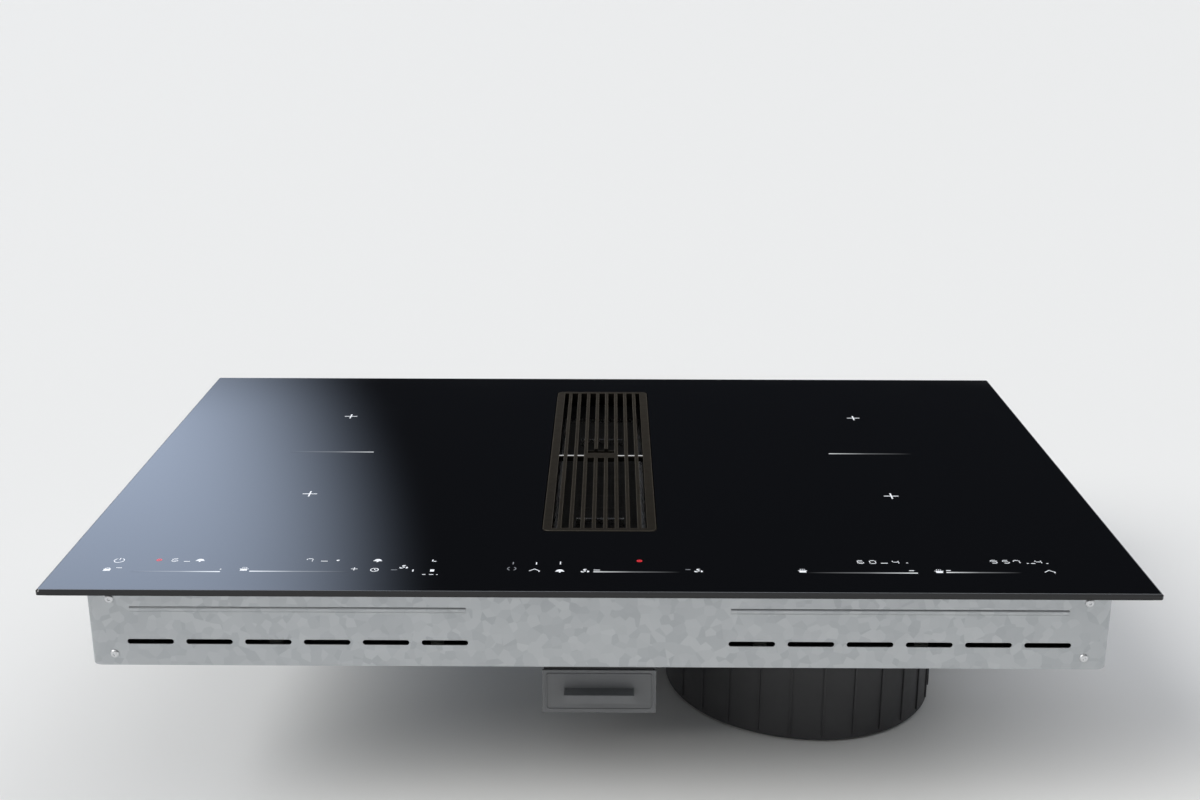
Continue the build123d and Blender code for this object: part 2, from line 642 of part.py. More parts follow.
def make_duct_tub():
    """Tub of the duct: air channel to the blower, and a deep sump that holds the drip tray."""
    flange_under = DUCT_UNDER - DUCT_WALL
    tub = duct_solid(DUCT_FLOOR - DUCT_WALL, DUCT_UNDER, DUCT_WALL)
    tub += duct_solid(flange_under, DUCT_UNDER, DUCT_WALL + DUCT_FLANGE)
    back = GRILLE_Y + SUMP_LENGTH / 2
    front = GRILLE_Y - SUMP_LENGTH / 2
    half = SUMP_WIDTH / 2
    tub += block(-half - DUCT_WALL, half + DUCT_WALL, front - DUCT_WALL, back + DUCT_WALL,
                 SUMP_FLOOR - DUCT_WALL, DUCT_FLOOR)
    tub -= duct_solid(DUCT_FLOOR, DUCT_UNDER + 1, 0)
    tub -= block(-half, half, front - DUCT_WALL - 1, back, SUMP_FLOOR, DUCT_FLOOR - DUCT_WALL)
    tub -= block(-half, half, front, back, DUCT_FLOOR - DUCT_WALL - 1, DUCT_FLOOR + 1)
    tub -= rod(BLOWER_X, BLOWER_Y, DUCT_FLOOR - DUCT_WALL - 1, DUCT_FLOOR + 1, MOUTH_R + MOUTH_WALL)
    holes = [rod(x, y, flange_under - 1, DUCT_UNDER + 1, SCREW_R + SCREW_PLAY) for x, y in duct_fixings()]
    return tub - holes


def make_duct_spacers():
    """Rubber washers between the duct lid and the casing floor."""
    return group([tube(x, y, DUCT_TOP, -CASING_DEEP, SCREW_HEAD_R, SCREW_R + SCREW_PLAY)
                  for x, y in duct_fixings()])


def screw(x, y, head_under, length, way=1):
    """A pan-head screw: its shank runs up from the head, or down when WAY is -1."""
    shank = rod(x, y, *sorted((head_under, head_under + way * length)), SCREW_R)
    head = rod(x, y, *sorted((head_under, head_under - way * SCREW_HEAD)), SCREW_HEAD_R)
    return shank + head


def make_duct_screws():
    """Screws up through the duct flanges and the casing floor."""
    head_under = DUCT_UNDER - DUCT_WALL
    length = FLOOR_TOP + SCREW_R - head_under
    return group([screw(x, y, head_under, length) for x, y in duct_fixings()])


def tray_ends():
    """Back and front of the drip tray's trough."""
    return GRILLE_Y + SUMP_LENGTH / 2 - TRAY_PLAY, GRILLE_Y - SUMP_LENGTH / 2 - DUCT_WALL - SLIDE_PLAY


def make_drip_tray():
    """Drawer that catches spilt liquid, with a front plate and a grip."""
    back, front = tray_ends()
    half = SUMP_WIDTH / 2 - TRAY_PLAY
    bottom = SUMP_FLOOR + RAIL_HIGH + SLIDE_PLAY
    top = bottom + TRAY_HIGH
    tray = block(-half, half, front, back, bottom, top)
    tray -= block(TRAY_WALL - half, half - TRAY_WALL, front + TRAY_WALL, back - TRAY_WALL,
                  bottom + TRAY_WALL, top + 1)
    cover_half = SUMP_WIDTH / 2 + TRAY_FRONT_LIP
    low = SUMP_FLOOR - DUCT_WALL
    tray += block(-cover_half, cover_half, front - TRAY_WALL, front, low, DUCT_FLOOR - DUCT_WALL)
    grip = TRAY_GRIP_WIDE / 2
    grip_z = (low + DUCT_FLOOR) / 2
    tray += block(-grip, grip, front - TRAY_GRIP_OUT, front, grip_z - TRAY_WALL, grip_z + TRAY_WALL)
    tray += block(-grip, grip, front - TRAY_GRIP_OUT, front - TRAY_GRIP_OUT + 2 * TRAY_WALL,
                  grip_z - 3 * TRAY_WALL, grip_z + TRAY_WALL)
    return tray


def make_tray_rails():
    """Low-friction strips on the sump floor that the drip tray slides on."""
    back, front = tray_ends()
    x = SUMP_WIDTH / 2 - TRAY_PLAY - RAIL_WIDE
    rail = block(x - RAIL_WIDE / 2, x + RAIL_WIDE / 2, front + 2 * TRAY_WALL, back, SUMP_FLOOR,
                 SUMP_FLOOR + RAIL_HIGH)
    return group(both_sides(rail))


# ---------------------------------------------------------------- blower
def volute_face(grow):
    """The volute's flat outline, GROW outside its inner faces, as three growing quarter arcs."""
    step = VOLUTE_STEP
    radii = [VOLUTE_R + grow + step * i for i in range(3)]
    right_y = BLOWER_Y - step / 2
    left_y = BLOWER_Y + step / 2
    top_x = BLOWER_X + step / 2
    low_x = BLOWER_X - step / 2
    left_x = low_x - radii[2]
    lip_x = left_x + THROAT + 2 * grow
    lip_y = right_y + (radii[0] ** 2 - (lip_x - top_x) ** 2) ** 0.5
    end_y = BLOWER_Y + VOLUTE_END
    diagonal = cos(radians(45))
    edges = [
        Line((lip_x, end_y), (lip_x, lip_y)),
        ThreePointArc((lip_x, lip_y), (top_x, right_y + radii[0]), (top_x + radii[0], right_y)),
        ThreePointArc((top_x + radii[0], right_y),
                      (low_x + radii[1] * diagonal, right_y - radii[1] * diagonal),
                      (low_x, right_y - radii[1])),
        ThreePointArc((low_x, right_y - radii[1]),
                      (low_x - radii[2] * diagonal, left_y - radii[2] * diagonal),
                      (left_x, left_y)),
        Line((left_x, left_y), (left_x, end_y)),
        Line((left_x, end_y), (lip_x, end_y)),
    ]
    return make_face(edges)


def volute_solid(z0, z1, grow):
    """The volute's outline raised from Z0 to Z1."""
    return Pos(0, 0, z0) * extrude(volute_face(grow), z1 - z0)


def volute_fixings():
    """Screws round the rim of the volute."""
    reach = VOLUTE_R + VOLUTE_STEP + VOLUTE_WALL + VOLUTE_FLANGE / 2
    places = []
    for angle in (60, 0, -60):
        radius = VOLUTE_R + VOLUTE_WALL + VOLUTE_FLANGE / 2
        centre = (BLOWER_X + VOLUTE_STEP / 2, BLOWER_Y - VOLUTE_STEP / 2)
        if angle < 0:
            radius = reach
            centre = (BLOWER_X - VOLUTE_STEP / 2, BLOWER_Y - VOLUTE_STEP / 2)
        places.append((centre[0] + radius * cos(radians(angle)), centre[1] + radius * sin(radians(angle))))
    radius = reach + VOLUTE_STEP
    centre = (BLOWER_X - VOLUTE_STEP / 2, BLOWER_Y + VOLUTE_STEP / 2)
    for angle in (-120, -180):
        places.append((centre[0] + radius * cos(radians(angle)), centre[1] + radius * sin(radians(angle))))
    places.append((centre[0] - radius, BLOWER_Y + VOLUTE_END - VOLUTE_FLANGE))
    return places


def volute_flange(z0, z1):
    """Rim round the volute that the lid is screwed to."""
    grow = VOLUTE_WALL + VOLUTE_FLANGE
    rim = volute_solid(z0, z1, grow)
    back = BLOWER_Y + VOLUTE_END
    return rim - block(0, CASING_WIDTH, back, back + CASING_LENGTH, z0 - 1, z1 + 1)


def make_volute_tub():
    """Lower half of the blower housing: floor, spiral wall, rim and motor seat."""
    bottom = VOLUTE_FLOOR - VOLUTE_WALL
    tub = volute_solid(bottom, VOLUTE_LID_UNDER, VOLUTE_WALL)
    tub += volute_flange(VOLUTE_LID_UNDER - VOLUTE_WALL, VOLUTE_LID_UNDER)
    tub -= volute_solid(VOLUTE_FLOOR, VOLUTE_LID_UNDER + 1, 0)
    back = BLOWER_Y + VOLUTE_END
    left = BLOWER_X - VOLUTE_STEP / 2 - VOLUTE_R - 2 * VOLUTE_STEP
    tub -= block(left, left + THROAT, back - VOLUTE_WALL - 1, back + 1, VOLUTE_FLOOR, VOLUTE_LID_UNDER + 1)
    holes = [rod(x, y, bottom, VOLUTE_LID_UNDER + 1, SCREW_R + SCREW_PLAY) for x, y in volute_fixings()]
    for x, y in motor_fixings():
        holes.append(rod(x, y, bottom - 1, VOLUTE_FLOOR + 1, SCREW_R + SCREW_PLAY))
    return tub - holes


def make_volute_lid():
    """Top of the blower housing, with the hole for the inlet mouth."""
    lid = volute_solid(VOLUTE_LID_UNDER, VOLUTE_TOP, VOLUTE_WALL)
    lid += volute_flange(VOLUTE_LID_UNDER, VOLUTE_TOP)
    lid -= rod(BLOWER_X, BLOWER_Y, VOLUTE_LID_UNDER - 1, VOLUTE_TOP + 1, MOUTH_R + MOUTH_WALL)
    holes = [rod(x, y, VOLUTE_LID_UNDER - 1, VOLUTE_TOP + 1, SCREW_R + SCREW_PLAY)
             for x, y in volute_fixings()]
    return lid - holes


def make_blower_screws():
    """Screws up through the volute's rim into its lid, and through its floor into the motor's base."""
    rim = VOLUTE_LID_UNDER - VOLUTE_WALL
    floor = VOLUTE_FLOOR - VOLUTE_WALL
    screws = [screw(x, y, rim, 2 * VOLUTE_WALL) for x, y in volute_fixings()]
    screws += [screw(x, y, floor, VOLUTE_WALL + MOTOR_BASE_THICK) for x, y in motor_fixings()]
    return group(screws)


def make_inlet_mouth():
    """Bell mouth that leads the air from the duct into the impeller's eye."""
    outer = MOUTH_R + MOUTH_WALL
    under = VOLUTE_TOP
    top = DUCT_FLOOR
    mouth = tube(BLOWER_X, BLOWER_Y, VOLUTE_LID_UNDER - MOUTH_LIP / 2, top, outer, MOUTH_R)
    mouth += tube(BLOWER_X, BLOWER_Y, under, under + MOUTH_FLANGE_THICK, outer + MOUTH_FLANGE, MOUTH_R)
    lip = tube(BLOWER_X, BLOWER_Y, top, top + MOUTH_WALL, MOUTH_R + MOUTH_LIP, MOUTH_R)
    return mouth + lip


def impeller_levels():
    """Underside of the impeller's back plate and top of its ring."""
    low = VOLUTE_FLOOR + IMPELLER_GAP
    high = VOLUTE_LID_UNDER - MOUTH_LIP / 2 - SCREW_PLAY
    return low, high


def make_impeller():
    """Backward leaning blades between a back plate and a top ring."""
    low, high = impeller_levels()
    bell_r = MOTOR_R
    wheel = tube(BLOWER_X, BLOWER_Y, low, low + IMPELLER_BACK, IMPELLER_R, bell_r)
    wheel += tube(BLOWER_X, BLOWER_Y, high - IMPELLER_RING, high, IMPELLER_R,
                  IMPELLER_R - 3 * IMPELLER_RING)
    middle_r = (IMPELLER_EYE_R + IMPELLER_R) / 2
    chord = (IMPELLER_R - IMPELLER_EYE_R) / cos(radians(IMPELLER_BLADE_LEAN)) - IMPELLER_BLADE_THICK
    blade = Box(chord, IMPELLER_BLADE_THICK, high - low - IMPELLER_RING)
    blade = Rot(0, 0, IMPELLER_BLADE_LEAN) * blade
    blade_z = (low + high - IMPELLER_RING) / 2
    blades = []
    for i in range(IMPELLER_BLADES):
        turned = Rot(0, 0, 360 * i / IMPELLER_BLADES) * Pos(middle_r, 0, 0) * blade
        blades.append(Pos(BLOWER_X, BLOWER_Y, blade_z) * turned)
    wheel += blades
    hub_top = low + 3 * IMPELLER_BACK
    return wheel + tube(BLOWER_X, BLOWER_Y, low, hub_top, bell_r + IMPELLER_BACK, bell_r)


def motor_levels():
    """Top of the motor's base, and top of the rotor bell."""
    base_top = VOLUTE_FLOOR + MOTOR_BASE_THICK
    return base_top, base_top + STATOR_GAP + MOTOR_HIGH


def motor_fixings():
    """Screws that hold the motor's base to the floor of the volute."""
    reach = MOTOR_R - ROTOR_WALL - 2 * SCREW_R
    return [(BLOWER_X + reach * cos(radians(a)), BLOWER_Y + reach * sin(radians(a)))
            for a in (45, 135, 225, 315)]


def make_motor_base():
    """Round base of the motor with the post that carries the bearings."""
    base_top, bell_top = motor_levels()
    base = rod(BLOWER_X, BLOWER_Y, VOLUTE_FLOOR, base_top, MOTOR_R - SCREW_R)
    post_top = bell_top - ROTOR_WALL - 2 * STATOR_GAP
    base += rod(BLOWER_X, BLOWER_Y, base_top, post_top, BEARING_R + ROTOR_WALL)
    base -= rod(BLOWER_X, BLOWER_Y, base_top, post_top + 1, BEARING_R)
    holes = [rod(x, y, VOLUTE_FLOOR - 1, base_top + 1, SCREW_R + SCREW_PLAY) for x, y in motor_fixings()]
    return base - holes


def make_motor_stator():
    """Wound stator round the bearing post."""
    base_top, bell_top = motor_levels()
    inner = BEARING_R + ROTOR_WALL
    outer = MOTOR_R - ROTOR_WALL - STATOR_GAP
    low = base_top + SCREW_HEAD
    high = bell_top - ROTOR_WALL - 3 * STATOR_GAP
    stator = tube(BLOWER_X, BLOWER_Y, low, high, outer, inner)
    slot = Box(outer, 2 * STATOR_GAP, high - low + 2)
    cuts = []
    for i in range(STATOR_SLOTS):
        reach = inner + ROTOR_WALL + outer / 2
        cut = Rot(0, 0, 360 * i / STATOR_SLOTS) * Pos(reach, 0, 0) * slot
        cuts.append(Pos(BLOWER_X, BLOWER_Y, (low + high) / 2) * cut)
    foot = tube(BLOWER_X, BLOWER_Y, base_top, low, inner + STATOR_GAP * 2, inner)
    return stator - cuts + foot


def make_motor_bearings():
    """Two ball bearings, drawn as rings, in the bearing post."""
    base_top, bell_top = motor_levels()
    post_top = bell_top - ROTOR_WALL - 2 * STATOR_GAP
    lower = tube(BLOWER_X, BLOWER_Y, base_top, base_top + BEARING_THICK, BEARING_R, SHAFT_R + RUNNING)
    upper = tube(BLOWER_X, BLOWER_Y, post_top - BEARING_THICK, post_top, BEARING_R, SHAFT_R + RUNNING)
    return group([lower, upper])


def make_motor_rotor():
    """Outer rotor: a bell over the stator with the shaft down its middle."""
    base_top, bell_top = motor_levels()
    low = impeller_levels()[0]
    bell = rod(BLOWER_X, BLOWER_Y, low, bell_top, MOTOR_R)
    bell -= rod(BLOWER_X, BLOWER_Y, low - 1, bell_top - ROTOR_WALL, MOTOR_R - ROTOR_WALL)
    shaft = rod(BLOWER_X, BLOWER_Y, base_top + SCREW_PLAY, bell_top, SHAFT_R)
    return bell + shaft


def spigot_face(y, grow):
    """Upright rounded outline of the spigot at depth Y."""
    plane = Plane(origin=(SPIGOT_X, y, spigot_z()), x_dir=(1, 0, 0), z_dir=(0, 1, 0))
    return plane * RectangleRounded(SPIGOT_WIDTH + 2 * grow, SPIGOT_HEIGHT + 2 * grow, SPIGOT_CORNER + grow)


def spigot_z():
    """Height of the spigot's middle."""
    return (VOLUTE_FLOOR + VOLUTE_LID_UNDER) / 2


def throat_face(y, grow):
    """Upright outline of the volute's outlet at depth Y."""
    left = BLOWER_X - VOLUTE_STEP / 2 - VOLUTE_R - 2 * VOLUTE_STEP
    middle = left + THROAT / 2
    height = VOLUTE_LID_UNDER - VOLUTE_FLOOR
    plane = Plane(origin=(middle, y, spigot_z()), x_dir=(1, 0, 0), z_dir=(0, 1, 0))
    return plane * RectangleRounded(THROAT + 2 * grow, height + 2 * grow, VOLUTE_WALL + grow)


def make_outlet():
    """Diffuser from the volute to a flat spigot for the exhaust duct."""
    start = BLOWER_Y + VOLUTE_END
    middle = start + DIFFUSER_LONG
    end = middle + SPIGOT_LONG
    outer = loft([throat_face(start, 0), spigot_face(middle, 0)])
    outer += extrude(spigot_face(middle, 0), SPIGOT_LONG, dir=(0, 1, 0))
    inner = loft([throat_face(start, -SPIGOT_WALL), spigot_face(middle, -SPIGOT_WALL)])
    bore = extrude(spigot_face(middle - 1, -SPIGOT_WALL), end + 1 - (middle - 1), dir=(0, 1, 0))
    collar = extrude(throat_face(start, 2 * VOLUTE_WALL), SPIGOT_WALL, dir=(0, 1, 0))
    opening = extrude(throat_face(start - 1, -SPIGOT_WALL), SPIGOT_WALL + 2, dir=(0, 1, 0))
    return outer + collar - inner - bore - opening


def blower_lead_place():
    """Where the blower's lead comes up through the casing floor."""
    return BLOWER_X + TONGUE_HALF + DUCT_WALL + DUCT_FLANGE + 6 * BLOWER_LEAD_R, BLOWER_Y - VOLUTE_STEP / 2


# ---------------------------------------------------------------- induction coils
def coil_levels():
    """Top of the winding, top of the former and underside of the former's disc."""
    coil_top = GLASS_UNDER - MICA_THICK
    former_top = coil_top - COIL_THICK
    return coil_top, former_top, former_top - FORMER_THICK


def make_coil_windings():
    """Flat spiral windings, with a groove between each turn and the next."""
    top, bottom, _ = coil_levels()
    pitch = (COIL_R - COIL_EYE_R) / COIL_TURNS
    winding = tube(0, 0, bottom, top, COIL_R, COIL_EYE_R)
    grooves = []
    for turn in range(1, COIL_TURNS):
        radius = COIL_EYE_R + pitch * turn
        grooves.append(tube(0, 0, bottom + COIL_GROOVE, top + 1, radius + COIL_GROOVE / 2,
                            radius - COIL_GROOVE / 2))
    winding -= grooves
    return group([Pos(x, y, 0) * winding for x, y in ZONES])


def make_coil_formers():
    """Plastic discs that carry the windings, with a hub in the coil's eye and a skirt below."""
    top, disc_top, disc_under = coil_levels()
    edge = COIL_R + FORMER_EDGE
    former = rod(0, 0, disc_under, disc_top, edge)
    former += rod(0, 0, disc_under, top, COIL_EYE_R - COIL_GROOVE)
    former += tube(0, 0, CARRIER_TOP, disc_under, edge, edge - FORMER_EDGE)
    former += tube(0, 0, CARRIER_TOP, disc_under, CARRIER_WINDOW_R + FORMER_EDGE, CARRIER_WINDOW_R)
    former -= rod(0, 0, CARRIER_TOP - 1, top + 1, SENSOR_R + SCREW_PLAY)
    return group([Pos(x, y, 0) * former for x, y in ZONES])


def make_ferrite_bars():
    """Radial ferrite bars glued below each former."""
    _, _, top = coil_levels()
    bars = []
    for x, y in ZONES:
        for i in range(FERRITE_COUNT):
            angle = 360 * i / FERRITE_COUNT
            middle = COIL_EYE_R + FERRITE_LONG / 2
            bar = Box(FERRITE_LONG, FERRITE_WIDE, FERRITE_THICK)
            bars.append(Pos(x, y, top - FERRITE_THICK / 2) * Rot(0, 0, angle) * Pos(middle, 0, 0) * bar)
    return group(bars)


def make_mica_sheets():
    """Insulating discs between the windings and the glass."""
    low = GLASS_UNDER - MICA_THICK
    sheet = tube(0, 0, low, GLASS_UNDER, COIL_R + FORMER_EDGE, SENSOR_R + SCREW_PLAY)
    return group([Pos(x, y, 0) * sheet for x, y in ZONES])


def make_temperature_sensors():
    """Sensors that stand on the carriers and touch the glass in each coil's eye."""
    waist = SENSOR_R / 2
    cap = 2 * MICA_THICK
    sensors = []
    for x, y in ZONES:
        sensor = rod(x, y, CARRIER_TOP, GLASS_UNDER - cap, waist)
        sensor += rod(x, y, CARRIER_TOP, CARRIER_TOP + cap, SENSOR_R)
        sensors.append(sensor + rod(x, y, GLASS_UNDER - cap, GLASS_UNDER, SENSOR_R))
    return group(sensors)


def carrier_edges():
    """Inner and outer X, front and back Y of the right-hand coil carrier."""
    back = ZONE_BACK_Y + CARRIER_REACH - CARRIER_MARGIN
    return ZONE_X - CARRIER_REACH, ZONE_X + CARRIER_REACH, ZONE_FRONT_Y - CARRIER_REACH, back


def make_coil_carriers():
    """Aluminium plates that carry the two coils of each side, ribbed by turned-down edges."""
    x0, x1, y0, y1 = carrier_edges()
    low = CARRIER_TOP - CARRIER_THICK
    carrier = block(x0, x1, y0, y1, low, CARRIER_TOP)
    fold = low - 2 * CARRIER_THICK
    carrier += block(x0, x0 + CARRIER_THICK, y0, y1, fold, low)
    carrier += block(x1 - CARRIER_THICK, x1, y0, y1, fold, low)
    middle = (ZONE_BACK_Y + ZONE_FRONT_Y) / 2
    carrier -= rod(ZONE_X, middle, low - 1, CARRIER_TOP + 1, CARRIER_WINDOW_R)
    return group(both_sides(carrier))


def make_carrier_springs():
    """Bent leaf springs that press the carriers up towards the glass."""
    x0, x1, y0, _ = carrier_edges()
    top = CARRIER_TOP - CARRIER_THICK
    low = FLOOR_TOP
    cooler_front = COOLER_Y - COOLER_SIZE / 2
    strip = SPRING_STRIP
    foot = SPRING_FOOT
    springs = []
    for x in (x0 + 3 * CARRIER_THICK + SPRING_WIDE / 2, x1 - 3 * CARRIER_THICK - SPRING_WIDE / 2):
        for y, way in ((y0 + SPRING_FOOT, 1), (cooler_front - SPRING_FOOT / 4, -1)):
            section = [
                (y, low),
                (y + way * foot, low),
                (y + way * 2 * foot, top - strip),
                (y + way * 3 * foot, top - strip),
                (y + way * 3 * foot, top),
                (y + way * 2 * foot - way * strip, top),
                (y + way * foot - way * strip, low + strip),
                (y, low + strip),
            ]
            spring = bar_along_x(section, x - SPRING_WIDE / 2, x + SPRING_WIDE / 2)
            springs.extend(both_sides(spring))
    return group(springs)


# ---------------------------------------------------------------- electronics
def board_edges():
    """Inner and outer X, front and back Y of the right-hand power board."""
    half = BOARD_WIDTH / 2
    return BOARD_X - half, BOARD_X + half, BOARD_Y0, BOARD_Y1


def board_posts():
    """Places of the posts under the right-hand power board."""
    x0, x1, y0, y1 = board_edges()
    inset = BOARD_POST_INSET
    return [(x, y) for x in (x0 + inset, x1 - inset) for y in (y0 + inset, y1 - inset)]


def make_power_boards():
    """One inverter board for each side's pair of coils."""
    x0, x1, y0, y1 = board_edges()
    board = block(x0, x1, y0, y1, BOARD_TOP - BOARD_THICK, BOARD_TOP)
    board -= [rod(x, y, BOARD_TOP - 2 * BOARD_THICK, BOARD_TOP + 1, SCREW_R) for x, y in board_posts()]
    return group(both_sides(board))


def make_board_posts():
    """Plastic posts under the boards, each with a snap pin through the board."""
    posts = []
    for x, y in board_posts():
        post = rod(x, y, FLOOR_TOP, BOARD_TOP - BOARD_THICK, BOARD_POST_R)
        post += rod(x, y, BOARD_TOP - BOARD_THICK, BOARD_TOP + BOARD_THICK, SCREW_R - RUNNING)
        posts.extend(both_sides(post))
    return group(posts)


def make_heat_sinks():
    """Extruded heat sinks, finned towards the top, in line with the cooling fans."""
    half = SINK_WIDE / 2
    y0 = BOARD_Y - SINK_LONG / 2
    middle = BOARD_X + SINK_X
    sink = block(middle - half, middle + half, y0, y0 + SINK_LONG, BOARD_TOP, BOARD_TOP + SINK_BASE)
    pitch = (SINK_WIDE - SINK_FIN_THICK) / (SINK_FINS - 1)
    for i in range(SINK_FINS):
        x = middle - half + i * pitch
        sink += block(x, x + SINK_FIN_THICK, y0, y0 + SINK_LONG, BOARD_TOP, BOARD_TOP + SINK_HIGH)
    return group(both_sides(sink))


def make_power_transistors():
    """Transistors clamped to the inner side of each heat sink."""
    x1 = BOARD_X + SINK_X - SINK_WIDE / 2
    pitch = SINK_LONG / CHIP_COUNT
    chips = []
    for i in range(CHIP_COUNT):
        y = BOARD_Y + (i - (CHIP_COUNT - 1) / 2) * pitch
        chip = block(x1 - CHIP_THICK, x1, y - CHIP_WIDE / 2, y + CHIP_WIDE / 2, BOARD_TOP,
                     BOARD_TOP + CHIP_HIGH)
        chips.extend(both_sides(chip))
    return group(chips)


def make_capacitors():
    """Film and bulk capacitors along the inner edge of each board."""
    x0, _, y0, y1 = board_edges()
    pitch = BOARD_DEPTH / (CAPACITOR_COUNT + 1)
    x = x0 + 2 * BOARD_POST_INSET + CAPACITOR_R
    cans = []
    for i in range(CAPACITOR_COUNT):
        y = y0 + (i + 1) * pitch
        can = rod(x, y, BOARD_TOP, BOARD_TOP + CAPACITOR_HIGH, CAPACITOR_R)
        cans.extend(both_sides(can))
    return group(cans)


def make_chokes():
    """Toroid chokes that stand flat on the boards."""
    x0, _, y0, _ = board_edges()
    x = x0 + 3 * BOARD_POST_INSET + 2 * CAPACITOR_R + CHOKE_R + CHOKE_WIRE_R
    rings = []
    for y in (BOARD_Y - BOARD_DEPTH / 5, BOARD_Y + BOARD_DEPTH / 5):
        ring = tube(x, y, BOARD_TOP, BOARD_TOP + 2 * CHOKE_WIRE_R, CHOKE_R + CHOKE_WIRE_R,
                    CHOKE_R - CHOKE_WIRE_R)
        rings.extend(both_sides(ring))
    return group(rings)


def make_cooler_frames():
    """Square frames of the cooling fans, each with a hub pin on three struts."""
    half = COOLER_SIZE / 2
    top = FLOOR_TOP + COOLER_HIGH
    frames = []
    for x, y in cooler_centres():
        frame = plate(COOLER_SIZE, COOLER_SIZE, FLOOR_TOP, top, SCREW_HEAD_R, x, y)
        frame -= rod(x, y, FLOOR_TOP - 1, top + 1, COOLER_BORE_R)
        for i in range(3):
            reach = (COOLER_BORE_R + half) / 2
            strut = Rot(0, 0, 120 * i + 90) * Pos(reach / 2, 0, 0)
            strut = strut * Box(reach, COOLER_STRUT, COOLER_STRUT)
            frame += Pos(x, y, FLOOR_TOP + COOLER_STRUT / 2) * strut
        frame += rod(x, y, FLOOR_TOP, FLOOR_TOP + COOLER_STRUT, COOLER_HUB_R)
        frame += rod(x, y, FLOOR_TOP, top - COOLER_STRUT - 2 * SCREW_PLAY, PIN_R)
        frame -= [rod(sx, sy, FLOOR_TOP - 1, top + 1, SCREW_R + SCREW_PLAY) for sx, sy in cooler_screws(x, y)]
        frames.append(frame)
    return group(frames)


def make_cooler_screws():
    """Screws that hold the cooling fans down to the casing floor."""
    top = FLOOR_TOP + COOLER_HIGH
    length = COOLER_HIGH + CASING_SHEET
    places = [place for x, y in cooler_centres() for place in cooler_screws(x, y)]
    return group([screw(x, y, top, length, -1) for x, y in places])


def make_cooler_rotor(x, y):
    """Seven-bladed rotor that runs on the hub pin."""
    low = FLOOR_TOP + COOLER_STRUT + SCREW_PLAY
    high = FLOOR_TOP + COOLER_HIGH - SCREW_PLAY
    rotor = rod(x, y, low, high, COOLER_HUB_R)
    tip = COOLER_BORE_R - COOLER_TIP_GAP
    reach = tip - COOLER_HUB_R / 2
    for i in range(COOLER_BLADES):
        blade = Rot(0, 0, 360 * i / COOLER_BLADES) * Pos(COOLER_HUB_R / 2 + reach / 2, 0, 0)
        blade = blade * Rot(COOLER_BLADE_TILT, 0, 0) * Box(reach, COOLER_BLADE_WIDE, COOLER_STRUT / 3)
        rotor += Pos(x, y, (low + high) / 2) * blade
    rotor &= rod(x, y, low, high, tip)
    return rotor - rod(x, y, low - 1, high - COOLER_STRUT, PIN_R + RUNNING)


# ---------------------------------------------------------------- touch controls
def control_y():
    """Middle of the touch board along Y."""
    return CONTROL_FRONT + CONTROL_DEPTH / 2 - GLASS_DEPTH / 2 + CASING_SHEET


def mark_y(row):
    """A row of marks on the glass, from its front edge."""
    return row - GLASS_DEPTH / 2


def make_control_board():
    """Long circuit board of the touch controls."""
    half = CONTROL_WIDTH / 2
    y = control_y()
    return block(-half, half, y - CONTROL_DEPTH / 2, y + CONTROL_DEPTH / 2, CONTROL_TOP - BOARD_THICK,
                 CONTROL_TOP)


def make_control_holder():
    """Plastic channel that clips the touch board below the glass, with feet on the casing floor."""
    half = CONTROL_WIDTH / 2 + HOLDER_WALL
    y = control_y()
    reach = CONTROL_DEPTH / 2 + HOLDER_WALL
    under = CONTROL_TOP - BOARD_THICK - HOLDER_WALL
    holder = block(-half, half, y - reach, y + reach, under, CONTROL_TOP + HOLDER_LIP)
    holder -= block(-half + HOLDER_WALL, half - HOLDER_WALL, y - reach + HOLDER_WALL,
                    y + reach - HOLDER_WALL, CONTROL_TOP - BOARD_THICK, CONTROL_TOP + HOLDER_LIP + 1)
    for side in (-1, 1):
        for x in (side * ZONE_X, side * ZONE_X / 2):
            holder += block(x - HOLDER_LIP, x + HOLDER_LIP, y - HOLDER_WALL, y + HOLDER_WALL,
                            FLOOR_TOP, under)
    return holder


def make_light_guides():
    """Clear bars that lead the light of the sliders up to the glass."""
    bars = []
    for x, width in SLIDERS:
        y = mark_y(SLIDER_ROW)
        bars.append(block(x - width / 2, x + width / 2, y - GUIDE_DEPTH / 2, y + GUIDE_DEPTH / 2,
                          CONTROL_TOP, GLASS_UNDER))
    return group(bars)


def make_display_modules():
    """Small number displays behind the sliders."""
    modules = []
    for x in DISPLAYS:
        y = mark_y(DISPLAY_ROW)
        low = CONTROL_TOP
        modules.append(block(x - DISPLAY_WIDE / 2, x + DISPLAY_WIDE / 2, y - DISPLAY_DEEP / 2,
                             y + DISPLAY_DEEP / 2, low, GLASS_UNDER))
    return group(modules)


# ---------------------------------------------------------------- wiring
def lead(points, radius):
    """A round lead along straight runs that are joined by arcs as large as the runs allow."""
    vectors = [Vector(*point) for point in points]
    runs = [b - a for a, b in zip(vectors, vectors[1:])]
    bends = []
    for before, after in zip(runs, runs[1:]):
        turn = before.get_angle(after)
        shorter = min(before.length, after.length)
        bends.append(0.45 * shorter * cos(radians(turn / 2)) / sin(radians(turn / 2)))
    print("lead", 2 * radius, "mm thick, bends:", [round(bend, 1) for bend in bends])
    path = FilletPolyline(*vectors, radius=bends)
    section = Plane(origin=vectors[0], z_dir=runs[0]) * Circle(radius)
    return sweep(section, path=path)


